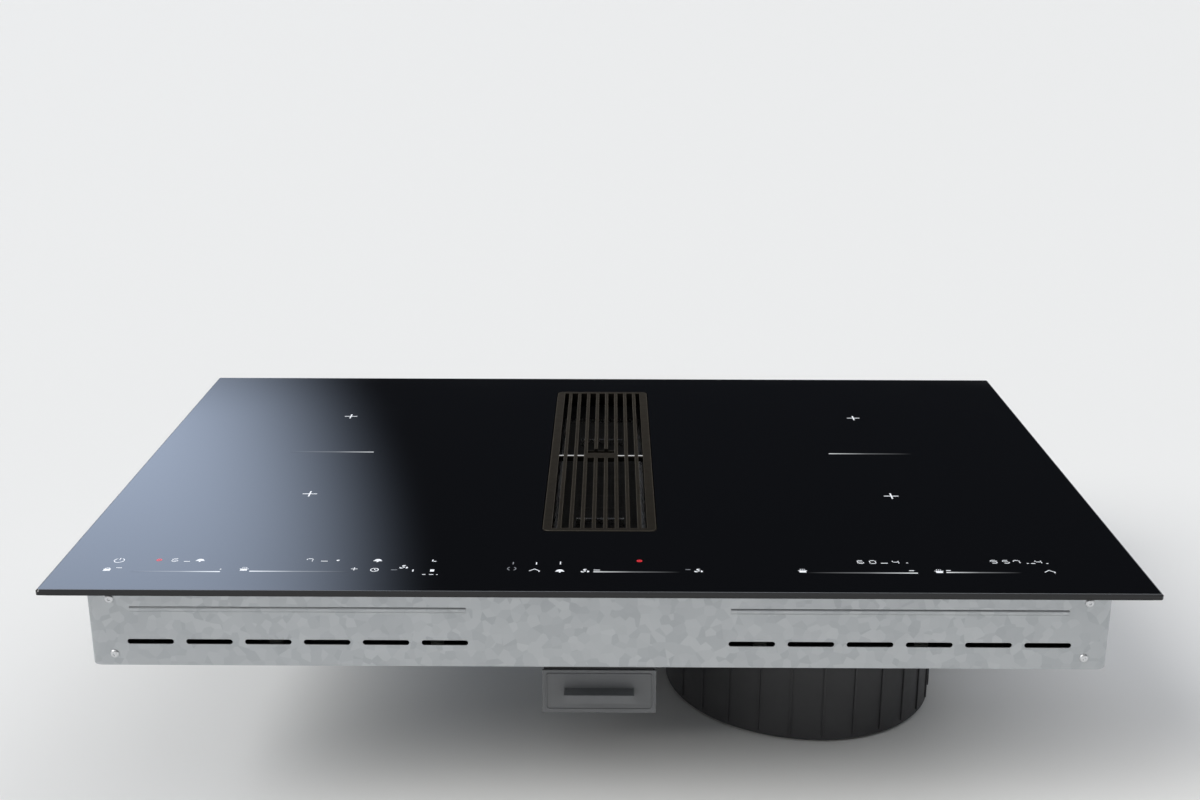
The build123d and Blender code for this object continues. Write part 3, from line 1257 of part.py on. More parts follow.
def make_coil_leads():
    """One lead from each coil's former, out past the carrier's edge and down to the power board."""
    _, x1, _, _ = carrier_edges()
    _, board_x1, _, board_y1 = board_edges()
    start_x = ZONE_X + COIL_R + FORMER_EDGE
    out_x = (x1 + CASING_WIDTH / 2 - CASING_SHEET) / 2
    out = out_x - start_x
    end_x = board_x1 - 3 * LEAD_R
    z = CARRIER_TOP + FORMER_SKIRT / 2
    leads = []
    for y, end_y in ((ZONE_BACK_Y, board_y1 - LEAD_INSET), (ZONE_FRONT_Y, ZONE_FRONT_Y + LEAD_INSET / 2)):
        run = end_y - y
        leads.append(lead([
            (start_x, y, z),
            (start_x + 0.32 * out, y, z),
            (start_x + 0.64 * out, y, z - 1.5),
            (start_x + 0.88 * out, y + 0.02 * run, z - 6),
            (out_x, y + 0.06 * run, z - 13),
            (out_x - 3, y + 0.25 * run, z - 22),
            (end_x + 40, y + 0.65 * run, BOARD_TOP + 15),
            (end_x + 22, y + 0.92 * run, BOARD_TOP + 18),
            (end_x + 10, end_y, BOARD_TOP + 18.5),
            (end_x + 2.5, end_y, BOARD_TOP + 14.5),
            (end_x, end_y, BOARD_TOP + 7.5),
            (end_x, end_y, BOARD_TOP),
        ], LEAD_R))
    return group([solid for piece in leads for solid in both_sides(piece)])


def make_ribbon_cables():
    """Flat cables from the touch board's holder, below the carrier, to each power board."""
    y1 = control_y() + CONTROL_DEPTH / 2 + HOLDER_WALL
    top = CONTROL_TOP - BOARD_THICK
    _, _, board_y0, _ = board_edges()
    end_y = board_y0 + BOARD_POST_INSET
    thick = RIBBON_THICK
    drop_y = y1 + 4 * thick
    run_z = BOARD_TOP + 9 * thick
    section = [
        (y1, top),
        (drop_y, top),
        (drop_y + thick, top - thick),
        (drop_y + thick, run_z + thick),
        (drop_y + 2 * thick, run_z),
        (end_y - thick, run_z),
        (end_y, run_z - thick),
        (end_y, BOARD_TOP),
        (end_y - thick, BOARD_TOP),
        (end_y - thick, run_z - 2 * thick),
        (end_y - 2 * thick, run_z - thick),
        (drop_y + thick, run_z - thick),
        (drop_y, run_z),
        (drop_y, top - 2 * thick),
        (drop_y - thick, top - thick),
        (y1, top - thick),
    ]
    ribbon = bar_along_x(section, BOARD_X - RIBBON_WIDE / 2, BOARD_X + RIBBON_WIDE / 2)
    return group(both_sides(ribbon))


def make_blower_lead():
    """Lead from the side of the volute up through the casing floor and over onto the power board."""
    x, y = blower_lead_place()
    _, board_x1, _, _ = board_edges()
    end_x = board_x1 - 2 * BLOWER_LEAD_R
    wall = BLOWER_X + VOLUTE_STEP / 2 + VOLUTE_R + VOLUTE_WALL
    z = (VOLUTE_FLOOR + VOLUTE_LID_UNDER) / 2
    return lead([
        (wall, y, z),
        (wall + 6, y, z),
        (x - 7, y, z + 2.5),
        (x - 2.2, y, z + 7.5),
        (x, y, z + 14),
        (x + 0.5, y, z + 28),
        (x + 1, y, -CASING_DEEP - 40),
        (x, y, -CASING_DEEP - 12),
        (x, y, FLOOR_TOP + 3),
        (x - 1.5, y, FLOOR_TOP + 13),
        (x - 6, y, FLOOR_TOP + 20),
        (x - 13, y, FLOOR_TOP + 22),
        (end_x + 4, y, BOARD_TOP + 11),
        (end_x, y, BOARD_TOP + 6),
        (end_x, y, BOARD_TOP),
    ], BLOWER_LEAD_R)


def make_lead_grommet():
    """Rubber grommet round the blower's lead in the casing floor."""
    x, y = blower_lead_place()
    bore = BLOWER_LEAD_R + SCREW_PLAY
    grommet = tube(x, y, -CASING_DEEP, FLOOR_TOP, BLOWER_LEAD_R + GROMMET_WALL, bore)
    outer = BLOWER_LEAD_R + 2 * GROMMET_WALL
    grommet += tube(x, y, -CASING_DEEP - GROMMET_WALL, -CASING_DEEP, outer, bore)
    return grommet + tube(x, y, FLOOR_TOP, FLOOR_TOP + GROMMET_WALL, outer, bore)


# ---------------------------------------------------------------- mains connection
def terminal_box_edges():
    """Left, right, front and back of the terminal box."""
    half_width = TERMINAL_WIDTH / 2
    half_depth = TERMINAL_DEPTH / 2
    return (TERMINAL_X - half_width, TERMINAL_X + half_width,
            TERMINAL_Y - half_depth, TERMINAL_Y + half_depth)


def gland_z():
    """Height of the cable gland's axis."""
    return -CASING_DEEP - TERMINAL_HIGH / 2


def hinge_place():
    """Front edge and height of the terminal cover's hinge."""
    _, _, y0, _ = terminal_box_edges()
    return y0 - HINGE_R - SCREW_PLAY * 2, -CASING_DEEP - TERMINAL_HIGH + HINGE_R


def make_terminal_box():
    """Plastic box below the casing, open underneath, with ears for the cover's hinge pin."""
    x0, x1, y0, y1 = terminal_box_edges()
    top = -CASING_DEEP
    low = top - TERMINAL_HIGH
    wall = TERMINAL_WALL
    box = block(x0, x1, y0, y1, low, top)
    box -= block(x0 + wall, x1 - wall, y0 + wall, y1 - wall, low - 1, top - wall)
    bore = Rot(90, 0, 0) * Cylinder(GLAND_R, 3 * wall)
    box -= Pos(TERMINAL_X, y1, gland_z()) * bore
    box -= rod(TERMINAL_X, TERMINAL_Y - TERMINAL_BLOCK_DEPTH / 2, top - wall - 1, top + 1, GLAND_BORE_R)
    pin_y, pin_z = hinge_place()
    for x in (x0, x1 - HINGE_EAR):
        box += block(x, x + HINGE_EAR, pin_y - HINGE_R, y0, pin_z - HINGE_R, pin_z + 2 * HINGE_R)
    pin = Rot(0, 90, 0) * Cylinder(HINGE_R / 2, TERMINAL_WIDTH - HINGE_EAR)
    return box + Pos(TERMINAL_X, pin_y, pin_z) * pin


def make_terminal_cover():
    """Cover that closes the terminal box from below and swings on the pin at its front."""
    x0, x1, y0, y1 = terminal_box_edges()
    pin_y, pin_z = hinge_place()
    top = -CASING_DEEP - TERMINAL_HIGH - SLIDE_PLAY
    low = top - TERMINAL_WALL
    cover = block(x0, x1, pin_y, y1, low, top)
    barrel_x0 = x0 + HINGE_EAR + SCREW_PLAY
    barrel_x1 = x1 - HINGE_EAR - SCREW_PLAY
    near = pin_y - HINGE_R - SCREW_PLAY
    far = pin_y + HINGE_R + SCREW_PLAY
    barrel = Rot(0, 90, 0) * Cylinder(HINGE_R, barrel_x1 - barrel_x0)
    cover += Pos(TERMINAL_X, pin_y, pin_z) * barrel
    cover += block(barrel_x0, barrel_x1, pin_y - HINGE_R, pin_y, low, pin_z)
    hole = Rot(0, 90, 0) * Cylinder(HINGE_R / 2 + RUNNING, TERMINAL_WIDTH)
    cover -= Pos(TERMINAL_X, pin_y, pin_z) * hole
    left_notch = block(x0 - 1, barrel_x0, near, far, low - 1, top + 1)
    right_notch = block(barrel_x1, x1 + 1, near, far, low - 1, top + 1)
    return cover - [left_notch, right_notch]


def make_terminal_block():
    """Row of screw terminals on the roof of the terminal box."""
    width = TERMINAL_POLES * TERMINAL_POLE_WIDE
    top = -CASING_DEEP - TERMINAL_WALL
    low = top - TERMINAL_BLOCK_HIGH
    y1 = TERMINAL_Y + TERMINAL_BLOCK_DEPTH / 4
    y0 = y1 - TERMINAL_BLOCK_DEPTH
    piece = block(TERMINAL_X - width / 2, TERMINAL_X + width / 2, y0, y1, low, top)
    cuts = []
    for i in range(TERMINAL_POLES):
        x = TERMINAL_X + (i - (TERMINAL_POLES - 1) / 2) * TERMINAL_POLE_WIDE
        cuts.append(rod(x, (y0 + y1) / 2, low - 1, low + TERMINAL_BLOCK_HIGH / 2, TERMINAL_SCREW_R))
        edge = x + TERMINAL_POLE_WIDE / 2
        if i < TERMINAL_POLES - 1:
            cuts.append(block(edge - SCREW_PLAY, edge + SCREW_PLAY, y0 - 1, y1 + 1, low - 1,
                              low + TERMINAL_BLOCK_HIGH / 3))
    return piece - cuts


def make_cable_gland():
    """Cable gland through the back wall of the terminal box, with its lock nut inside."""
    _, _, _, y1 = terminal_box_edges()
    middle_y = y1 - GLAND_NUT_THICK - TERMINAL_WALL + GLAND_LONG / 2
    body = Cylinder(GLAND_R, GLAND_LONG)
    body += Pos(0, 0, -GLAND_LONG / 2 + GLAND_NUT_THICK / 2) * extrude(
        RegularPolygon(GLAND_NUT_R, 6), GLAND_NUT_THICK / 2, both=True)
    outer_start = -GLAND_LONG / 2 + GLAND_NUT_THICK + TERMINAL_WALL
    flange = extrude(RegularPolygon(GLAND_NUT_R, 6), GLAND_NUT_THICK)
    body += Pos(0, 0, outer_start) * flange
    body -= Cylinder(GLAND_BORE_R, GLAND_LONG + 2)
    return Pos(TERMINAL_X, middle_y, gland_z()) * Rot(-90, 0, 0) * body


# ---------------------------------------------------------------- worktop clamps
def make_clamp(side, y):
    """Steel angle that slides up its screw until it grips the worktop from below."""
    wall = CASING_WIDTH / 2 + CLAMP_PLAY
    top = -WORKTOP_THICK - SLIDE_PLAY
    screw_z = clamp_screw_z()
    half = CLAMP_WIDE / 2
    slot_r = CLAMP_SCREW_R + CLAMP_SLOT_PLAY
    low = screw_z - slot_r - CLAMP_EDGE
    clamp = block(wall, wall + CLAMP_SHEET, y - half, y + half, low, top)
    clamp += block(wall, wall + CLAMP_REACH, y - half, y + half, top - CLAMP_SHEET, top)
    slot = Rot(0, 90, 0) * Cylinder(slot_r, 4 * CLAMP_SHEET)
    clamp -= Pos(wall, y, screw_z) * slot
    clamp -= Pos(wall, y, screw_z + CLAMP_TRAVEL) * slot
    clamp -= block(wall - 1, wall + CLAMP_SHEET + 1, y - slot_r, y + slot_r, screw_z, screw_z + CLAMP_TRAVEL)
    if side < 0:
        return flip_x(clamp)
    return clamp


def make_clamp_screws():
    """Screws through the clamps' slots into the casing wall."""
    inside = CASING_WIDTH / 2 - 3 * CASING_SHEET
    outside = CASING_WIDTH / 2 + CLAMP_PLAY + CLAMP_SHEET + SLIDE_PLAY
    shank = Pos((inside + outside) / 2, 0, 0) * Rot(0, 90, 0) * Cylinder(CLAMP_SCREW_R, outside - inside)
    head = Pos(outside + SCREW_HEAD / 2, 0, 0) * Rot(0, 90, 0) * Cylinder(2 * CLAMP_SCREW_R, SCREW_HEAD)
    right = shank + head
    left = flip_x(right)
    screws = []
    for side, y in clamp_places():
        screws.append(Pos(0, y, clamp_screw_z()) * (right if side > 0 else left))
    return group(screws)


# ---------------------------------------------------------------- all sub-parts
parts = {
    "glass_plate": make_glass(),
    "glass_seal": make_seal(),
    "casing_pan": make_casing(),
    "grille": make_grille(),
    "grille_pads": make_grille_pads(),
    "intake_shaft": make_shaft(),
    "shaft_gasket": make_shaft_gasket(),
    "filter_frame": make_filter_frame(),
    "filter_mesh": make_filter_mesh(),
    "filter_handles": make_filter_handles(),
    "duct_lid": make_duct_lid(),
    "duct_tub": make_duct_tub(),
    "duct_spacers": make_duct_spacers(),
    "duct_screws": make_duct_screws(),
    "drip_tray": make_drip_tray(),
    "tray_rails": make_tray_rails(),
    "volute_tub": make_volute_tub(),
    "volute_lid": make_volute_lid(),
    "blower_screws": make_blower_screws(),
    "inlet_mouth": make_inlet_mouth(),
    "impeller": make_impeller(),
    "motor_base": make_motor_base(),
    "motor_stator": make_motor_stator(),
    "motor_bearings": make_motor_bearings(),
    "motor_rotor": make_motor_rotor(),
    "air_outlet": make_outlet(),
    "blower_lead": make_blower_lead(),
    "lead_grommet": make_lead_grommet(),
    "coil_windings": make_coil_windings(),
    "coil_formers": make_coil_formers(),
    "ferrite_bars": make_ferrite_bars(),
    "mica_sheets": make_mica_sheets(),
    "temperature_sensors": make_temperature_sensors(),
    "coil_carriers": make_coil_carriers(),
    "carrier_springs": make_carrier_springs(),
    "coil_leads": make_coil_leads(),
    "power_boards": make_power_boards(),
    "board_posts": make_board_posts(),
    "heat_sinks": make_heat_sinks(),
    "power_transistors": make_power_transistors(),
    "capacitors": make_capacitors(),
    "chokes": make_chokes(),
    "cooler_frames": make_cooler_frames(),
    "cooler_screws": make_cooler_screws(),
    "cooler_rotor_right": make_cooler_rotor(*cooler_centres()[0]),
    "cooler_rotor_left": make_cooler_rotor(*cooler_centres()[1]),
    "control_board": make_control_board(),
    "control_holder": make_control_holder(),
    "light_guides": make_light_guides(),
    "display_modules": make_display_modules(),
    "ribbon_cables": make_ribbon_cables(),
    "terminal_box": make_terminal_box(),
    "terminal_block": make_terminal_block(),
    "terminal_cover": make_terminal_cover(),
    "cable_gland": make_cable_gland(),
    "clamp_screws": make_clamp_screws(),
}
for (clamp_side, clamp_y) in clamp_places():
    depth_name = "front" if clamp_y < 0 else "back"
    side_name = "left" if clamp_side < 0 else "right"
    parts[f"clamp_{depth_name}_{side_name}"] = make_clamp(clamp_side, clamp_y)

os.makedirs("parts", exist_ok=True)
for name, shape in parts.items():
    export_step(shape, f"parts/{name}.step")
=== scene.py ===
# %% [markdown]
# # A downdraft induction cooktop, dressed for its portrait
# The real object is a black glass plate with a metal extractor grille in its middle and a whole appliance
# hanging below it: casing, coils, electronics, air duct and blower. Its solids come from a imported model,
# at their real size and place. This lesson gives them their finishes and adds what is too fine for those
# solids, such as the marks printed on the glass. The scene is in metres, with +X to the right, +Y to the
# back and +Z up, and zero is the plane that the seal under the glass rests on.

# %% Load the model and measure it
import json
import math

import bmesh
import bpy
from mathutils import Matrix, Vector
from mathutils.bvhtree import BVHTree


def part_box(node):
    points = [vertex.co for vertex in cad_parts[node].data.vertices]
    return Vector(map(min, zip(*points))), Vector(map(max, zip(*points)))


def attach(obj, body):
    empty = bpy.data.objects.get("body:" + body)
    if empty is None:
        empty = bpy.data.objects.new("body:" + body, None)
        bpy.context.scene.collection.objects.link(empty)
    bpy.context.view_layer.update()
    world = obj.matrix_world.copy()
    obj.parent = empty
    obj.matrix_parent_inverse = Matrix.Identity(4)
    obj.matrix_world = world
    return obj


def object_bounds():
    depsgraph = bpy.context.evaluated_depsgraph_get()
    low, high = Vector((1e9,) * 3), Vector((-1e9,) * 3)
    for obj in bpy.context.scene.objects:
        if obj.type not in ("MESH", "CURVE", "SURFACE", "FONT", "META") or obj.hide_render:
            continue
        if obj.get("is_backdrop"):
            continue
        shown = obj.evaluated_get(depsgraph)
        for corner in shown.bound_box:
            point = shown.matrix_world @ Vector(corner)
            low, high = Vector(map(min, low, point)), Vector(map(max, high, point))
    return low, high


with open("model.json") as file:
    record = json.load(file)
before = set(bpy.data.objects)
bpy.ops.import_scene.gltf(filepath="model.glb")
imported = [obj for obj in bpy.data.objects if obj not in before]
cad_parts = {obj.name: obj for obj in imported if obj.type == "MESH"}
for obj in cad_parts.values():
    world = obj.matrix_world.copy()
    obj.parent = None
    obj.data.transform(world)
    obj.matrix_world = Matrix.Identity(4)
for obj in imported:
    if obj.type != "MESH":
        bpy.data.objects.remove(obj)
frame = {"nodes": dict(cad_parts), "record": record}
cad_box = [list(corner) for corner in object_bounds()]
nodes = frame["nodes"]
slot_of = {part["node"]: part["material_slot"] for part in frame["record"]["subparts"]}
MM = 0.001
scene = bpy.context.scene
print("nodes:", len(nodes), "box:", cad_box)

# %% [markdown]
# ## Where things are
# The marks and the small parts are placed from the solids themselves, so they follow if a size changes.

# %% Corners of the main solids
glass_low, glass_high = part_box("glass_plate")
grille_low, grille_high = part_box("grille")
casing_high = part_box("casing_pan")[1]
volute_low, volute_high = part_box("volute_tub")
GLASS_TOP = glass_high.z
print("glass:", [round((b - a) / MM, 1) for a, b in zip(glass_low, glass_high)], "mm")

# %% [markdown]
# ## Camera
# The photograph looks down on the glass from in front, about 1.3 metres from its middle. Its focal length
# and place were worked out from the corners of the glass and of the grille and the two zone crosses. A
# camera can be aimed with a tracking constraint, but its turn is built from three angles here, because
# they are what the corners gave.

# %% Camera
PHOTO_WIDTH = 1200
FOCAL_PIXELS = 1485.0
SENSOR_WIDTH = 36.0
FARTHEST = 100.0
CAMERA_PLACE = (8.2 * MM, -1218.6 * MM, 449.5 * MM)
# The three angles of its turn, in degrees.
CAMERA_DOWN = 17.73
CAMERA_LEFT = 0.42
CAMERA_ROLL = 0.07


def add_camera():
    data = bpy.data.cameras.new("camera")
    data.sensor_width = SENSOR_WIDTH
    data.lens = FOCAL_PIXELS / PHOTO_WIDTH * SENSOR_WIDTH
    data.clip_end = FARTHEST
    camera = bpy.data.objects.new("camera", data)
    turn = Matrix.Rotation(math.radians(CAMERA_LEFT), 4, "Z")
    tilt = Matrix.Rotation(math.radians(90 - CAMERA_DOWN), 4, "X")
    roll = Matrix.Rotation(math.radians(CAMERA_ROLL), 4, "Z")
    place = Vector(CAMERA_PLACE) + Vector((0, 0, GLASS_TOP))
    camera.matrix_world = Matrix.Translation(place) @ turn @ tilt @ roll
    scene.collection.objects.link(camera)
    scene.camera = camera
    return camera


camera = add_camera()
print("lens:", round(camera.data.lens, 2), "mm")

# %% [markdown]
# ## Floor
# A polished black plate shows its surroundings more than itself, so they matter as much as any finish.
# The floor is one wide sheet of pale paper. A curved studio sweep would also do, but the other views walk
# all round the object, and a flat floor looks the same from every side.

# %% Floor
FLOOR_SIZE = 60.0
FLOOR_COLOR = (0.80, 0.80, 0.79)
FLOOR_ROUGHNESS = 0.9
FLOOR_SHINE = 0.1
floor_z = cad_box[0][2]


def add_floor():
    mesh = bpy.data.meshes.new("floor")
    half = FLOOR_SIZE / 2
    corners = [(-half, -half), (half, -half), (half, half), (-half, half)]
    mesh.from_pydata([(x, y, floor_z) for x, y in corners], [], [(0, 1, 2, 3)])
    floor = bpy.data.objects.new("floor", mesh)
    scene.collection.objects.link(floor)
    material = bpy.data.materials.new("floor_paper")
    material.use_nodes = True
    shader = material.node_tree.nodes["Principled BSDF"]
    shader.inputs["Base Color"].default_value = (*FLOOR_COLOR, 1)
    shader.inputs["Roughness"].default_value = FLOOR_ROUGHNESS
    shader.inputs["Specular IOR Level"].default_value = FLOOR_SHINE
    mesh.materials.append(material)
    floor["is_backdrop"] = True


add_floor()
print("floor at", round(floor_z / MM, 1), "mm")

# %% [markdown]
# ## Trees of nodes
# The sky and every finish are trees of nodes: each works out a number or a colour, and links carry it on.
# A tree can be drawn by hand in the shader editor, but the same steps come back in each, so they are named
# once here.

# %% Helpers for trees of nodes
class Nodes:
    """Adds nodes and links to a tree."""

    def __init__(self, tree):
        self.tree = tree

    def node(self, kind, **inputs):
        made = self.tree.nodes.new("ShaderNode" + kind)
        for socket, value in inputs.items():
            made.inputs[socket.replace("_", " ")].default_value = value
        return made

    def link(self, output, target):
        self.tree.links.new(output, target)

    def part(self, vector, axis):
        """The part of VECTOR along AXIS."""
        split = self.node("SeparateXYZ")
        self.link(vector, split.inputs["Vector"])
        return split.outputs[axis]

    def cosine(self, one, other):
        """The cosine between two directions, of which OTHER may be the same all over."""
        dot = self.node("VectorMath")
        dot.operation = "DOT_PRODUCT"
        self.link(one, dot.inputs[0])
        if isinstance(other, Vector):
            dot.inputs[1].default_value = other
        else:
            self.link(other, dot.inputs[1])
        return dot.outputs["Value"]

    def ramped(self, value, low, high, curve="LINEAR"):
        """A mask that is 0 where VALUE is LOW and 1 where it is HIGH."""
        ramp = self.node("MapRange", From_Min=low, From_Max=high)
        ramp.interpolation_type = curve
        self.link(value, ramp.inputs["Value"])
        return ramp.outputs["Result"]

    def both(self, one, other):
        """The product of two masks."""
        product = self.node("Math")
        product.operation = "MULTIPLY"
        self.link(one, product.inputs[0])
        self.link(other, product.inputs[1])
        return product.outputs["Value"]

    def shaded(self, factor, steps):
        """A ramp of colours along FACTOR, from STEPS of a place and the colour there."""
        ramp = self.node("ValToRGB")
        stops = ramp.color_ramp.elements
        for place, _ in steps[1:-1]:
            stops.new(place)
        for stop, (place, color) in zip(stops, steps):
            stop.position = place
            stop.color = (*color, 1)
        self.link(factor, ramp.inputs["Fac"])
        return ramp.outputs["Color"]


# %% [markdown]
# ## World
# The sky is one ramp from the horizon upwards. Its horizon is as pale as the lit floor, so the two meet
# without a line. The dim belt above it is what the glass mirrors towards a viewer in front, which keeps
# it black, and the bright top lights everything softly from above, as a broad softbox would. One soft
# window, low and to the left behind the object, draws the blue-grey sheen across that side of the glass
# and stops short of the middle. A panorama could light it too, but a ramp can be tuned by hand.

# %% World
SKY_STEPS = (
    # height of the direction, from 0 at the horizon to 1 straight up, and colour
    (0.0, (0.83, 0.83, 0.83)),
    (0.215, (0.80, 0.80, 0.81)),
    (0.285, (0.016, 0.018, 0.023)),
    (0.56, (0.020, 0.022, 0.027)),
    (0.82, (0.86, 0.87, 0.89)),
    (1.0, (0.86, 0.87, 0.89)),
)
WINDOW_COLOR = (1.9, 2.25, 2.9)
# In degrees: how far the window lies to the left and above the horizon, and its rim and its core.
WINDOW_TURN = 27.0
WINDOW_RISE = 24.0
WINDOW_RADII = (18.5, 5.0)
WINDOW_SILL = (0.22, 0.31)


def window_mask(sky, direction, height):
    """1 in the window's middle, 0 outside it and below its sill."""
    turn = Matrix.Rotation(math.radians(WINDOW_TURN), 3, "Z")
    rise = Matrix.Rotation(math.radians(WINDOW_RISE), 3, "X")
    off_middle = sky.cosine(direction, turn @ rise @ Vector((0, 1, 0)))
    rim, core = (math.cos(math.radians(radius)) for radius in WINDOW_RADII)
    inside = sky.ramped(off_middle, rim, core, "SMOOTHERSTEP")
    return sky.both(inside, sky.ramped(height, *WINDOW_SILL, "SMOOTHSTEP"))


def add_sky():
    world = bpy.data.worlds.new("studio")
    scene.world = world
    world.use_nodes = True
    world.node_tree.nodes.clear()
    sky = Nodes(world.node_tree)
    direction = sky.node("TexCoord").outputs["Generated"]
    height = sky.part(direction, "Z")
    patch = sky.node("Mix")
    patch.data_type = "RGBA"
    patch.inputs["B"].default_value = (*WINDOW_COLOR, 1)
    sky.link(window_mask(sky, direction, height), patch.inputs["Factor"])
    sky.link(sky.shaded(height, SKY_STEPS), patch.inputs["A"])
    glow = sky.node("Background")
    sky.link(patch.outputs["Result"], glow.inputs["Color"])
    sky.link(glow.outputs["Background"], sky.node("OutputWorld").inputs["Surface"])


add_sky()
scene.view_settings.view_transform = "Standard"
print("sky steps:", len(SKY_STEPS))

# %% [markdown]
# ## Lamps
# Two suns light the object, because a sun lights the far floor as evenly as the near floor. Each has a
# wide disc, so its shadows are soft, and neither stands where the glass would mirror it towards the
# camera. Together with the sky they add up to a plain level, at which a colour looks as it is written.

# %% Lamps
LAMPS = (
    # name, direction towards it, strength, width of its disc in degrees, colour
    ("key", (-0.75, -0.50, 0.75), 2.10, 34.0, (1.0, 0.99, 0.97)),
    ("fill", (0.85, 0.55, 0.85), 0.40, 60.0, (0.95, 0.97, 1.0)),
)


def add_lamp(name, towards, strength, width, color):
    data = bpy.data.lights.new(name, "SUN")
    data.energy = strength
    data.angle = math.radians(width)
    data.color = color
    lamp = bpy.data.objects.new(name, data)
    lamp.rotation_euler = Vector(towards).to_track_quat("Z", "Y").to_euler()
    scene.collection.objects.link(lamp)


for lamp in LAMPS:
    add_lamp(*lamp)
print("lamps:", len(LAMPS))

# %% [markdown]
# ## Finishes
# Each finish is a small tree of nodes on the object's own coordinates, in metres, so its grain has a real
# size. Most share three layers: a broad change of colour, a change of gloss, and a fine relief. The
# helpers below make those layers. Numbers that are the same all over are set on the shader itself.

# %% Helpers for finishes
# Cosines between the true and the rounded normal of an edge, where wear starts and where it is full.
WEAR_STARTS = 0.97
WEAR_FULL = 0.80


class Finish(Nodes):
    """A material and the helpers that add its layers."""

    def __init__(self, name, color, roughness, metallic=0.0, **sockets):
        self.material = bpy.data.materials.new(name)
        self.material.use_nodes = True
        super().__init__(self.material.node_tree)
        self.shader = self.tree.nodes["Principled BSDF"]
        self.shader.inputs["Base Color"].default_value = (*color, 1)
        self.shader.inputs["Roughness"].default_value = roughness
        self.shader.inputs["Metallic"].default_value = metallic
        for socket, value in sockets.items():
            self.shader.inputs[socket.replace("_", " ")].default_value = value
        self.coordinates = self.node("TexCoord").outputs["Object"]
        self.relief = None

    def stretched(self, scale):
        """The object's coordinates, times SCALE along each axis."""
        mapping = self.node("Mapping")
        mapping.inputs["Scale"].default_value = scale
        self.link(self.coordinates, mapping.inputs["Vector"])
        return mapping.outputs["Vector"]

    def noise(self, size, detail=3.0, stretch=(1, 1, 1)):
        """Noise whose features are about SIZE metres across."""
        noise = self.node("TexNoise", Scale=1 / size, Detail=detail)
        self.link(self.stretched(stretch), noise.inputs["Vector"])
        return noise.outputs["Fac"]

    def cells(self, size, stretch=(1, 1, 1)):
        """Cells about SIZE metres across."""
        cells = self.node("TexVoronoi", Scale=1 / size)
        self.link(self.stretched(stretch), cells.inputs["Vector"])
        return cells.outputs

    def stripes(self, scale, axis):
        """Even stripes that follow each other along AXIS, which is X or Y."""
        wave = self.node("TexWave", Scale=scale, Distortion=0.0)
        wave.bands_direction = axis
        self.link(self.stretched([float(way == axis) for way in "XYZ"]), wave.inputs["Vector"])
        return wave.outputs["Fac"]

    def edges(self, radius):
        """1 on edges sharper than RADIUS metres and 0 on flat faces, for wear."""
        rounded = self.node("Bevel", Radius=radius).outputs["Normal"]
        flat = self.node("NewGeometry").outputs["Normal"]
        return self.ramped(self.cosine(rounded, flat), WEAR_STARTS, WEAR_FULL)

    def near_top(self, top, depth):
        """1 at the height TOP and 0 from DEPTH metres below it."""
        return self.ramped(self.part(self.coordinates, "Z"), top - depth, top)

    def between(self, factor, low, high):
        """FACTOR, from 0 to 1, turned into a number from LOW to HIGH."""
        spread = self.node("MapRange", To_Min=low, To_Max=high)
        self.link(factor, spread.inputs["Value"])
        return spread.outputs["Result"]

    def tint(self, factor, other):
        """Mixes the colour towards OTHER by FACTOR."""
        mix = self.node("Mix")
        mix.data_type = "RGBA"
        source = self.shader.inputs["Base Color"]
        if source.is_linked:
            self.link(source.links[0].from_socket, mix.inputs["A"])
        else:
            mix.inputs["A"].default_value = source.default_value
        mix.inputs["B"].default_value = (*other, 1)
        self.link(factor, mix.inputs["Factor"])
        self.link(mix.outputs["Result"], source)
        return self

    def gloss(self, factor, low, high):
        """Makes the roughness run from LOW to HIGH."""
        self.link(self.between(factor, low, high), self.shader.inputs["Roughness"])
        return self

    def bump(self, height, depth, strength=1.0):
        """Adds relief of DEPTH metres."""
        bump = self.node("Bump", Strength=strength, Distance=depth)
        self.link(height, bump.inputs["Height"])
        if self.relief is not None:
            self.link(self.relief, bump.inputs["Normal"])
        self.relief = bump.outputs["Normal"]
        self.link(self.relief, self.shader.inputs["Normal"])
        return self


finishes = {}


def finish(slot, color, roughness, metallic=0.0, name=None, **sockets):
    """A finish that is kept for every solid of this SLOT."""
    made = Finish(name or slot, color, roughness, metallic, **sockets)
    finishes[slot] = made.material
    return made


# %% [markdown]
# ### Black glass
# Glass-ceramic is fused smooth, so it has no grain at all: only its gloss changes a little where it was
# wiped. It looks black because it is dyed through. A see-through shader over a dark box would cost time
# and show nothing more, so the plate is a solid black with a sharp reflection.

# %% Black glass
GLASS_COLOR = (0.0026, 0.0028, 0.0034)
glass = finish("black_glass", GLASS_COLOR, 0.03, IOR=1.5)
glass.gloss(glass.noise(90 * MM, 2.0), 0.015, 0.06)
print("glass colour:", GLASS_COLOR)

# %% [markdown]
# ### Coat of the grille
# The grille is a cast piece with a baked dark bronze coat: satin, faintly grainy, and a little lighter on
# the top edges, where cloths have rubbed it. The wear could be painted by hand, but two masks find it
# wherever the shape goes. Metal turns pale at a low angle, and a grey tint of its specular keeps this
# coat dark there too.

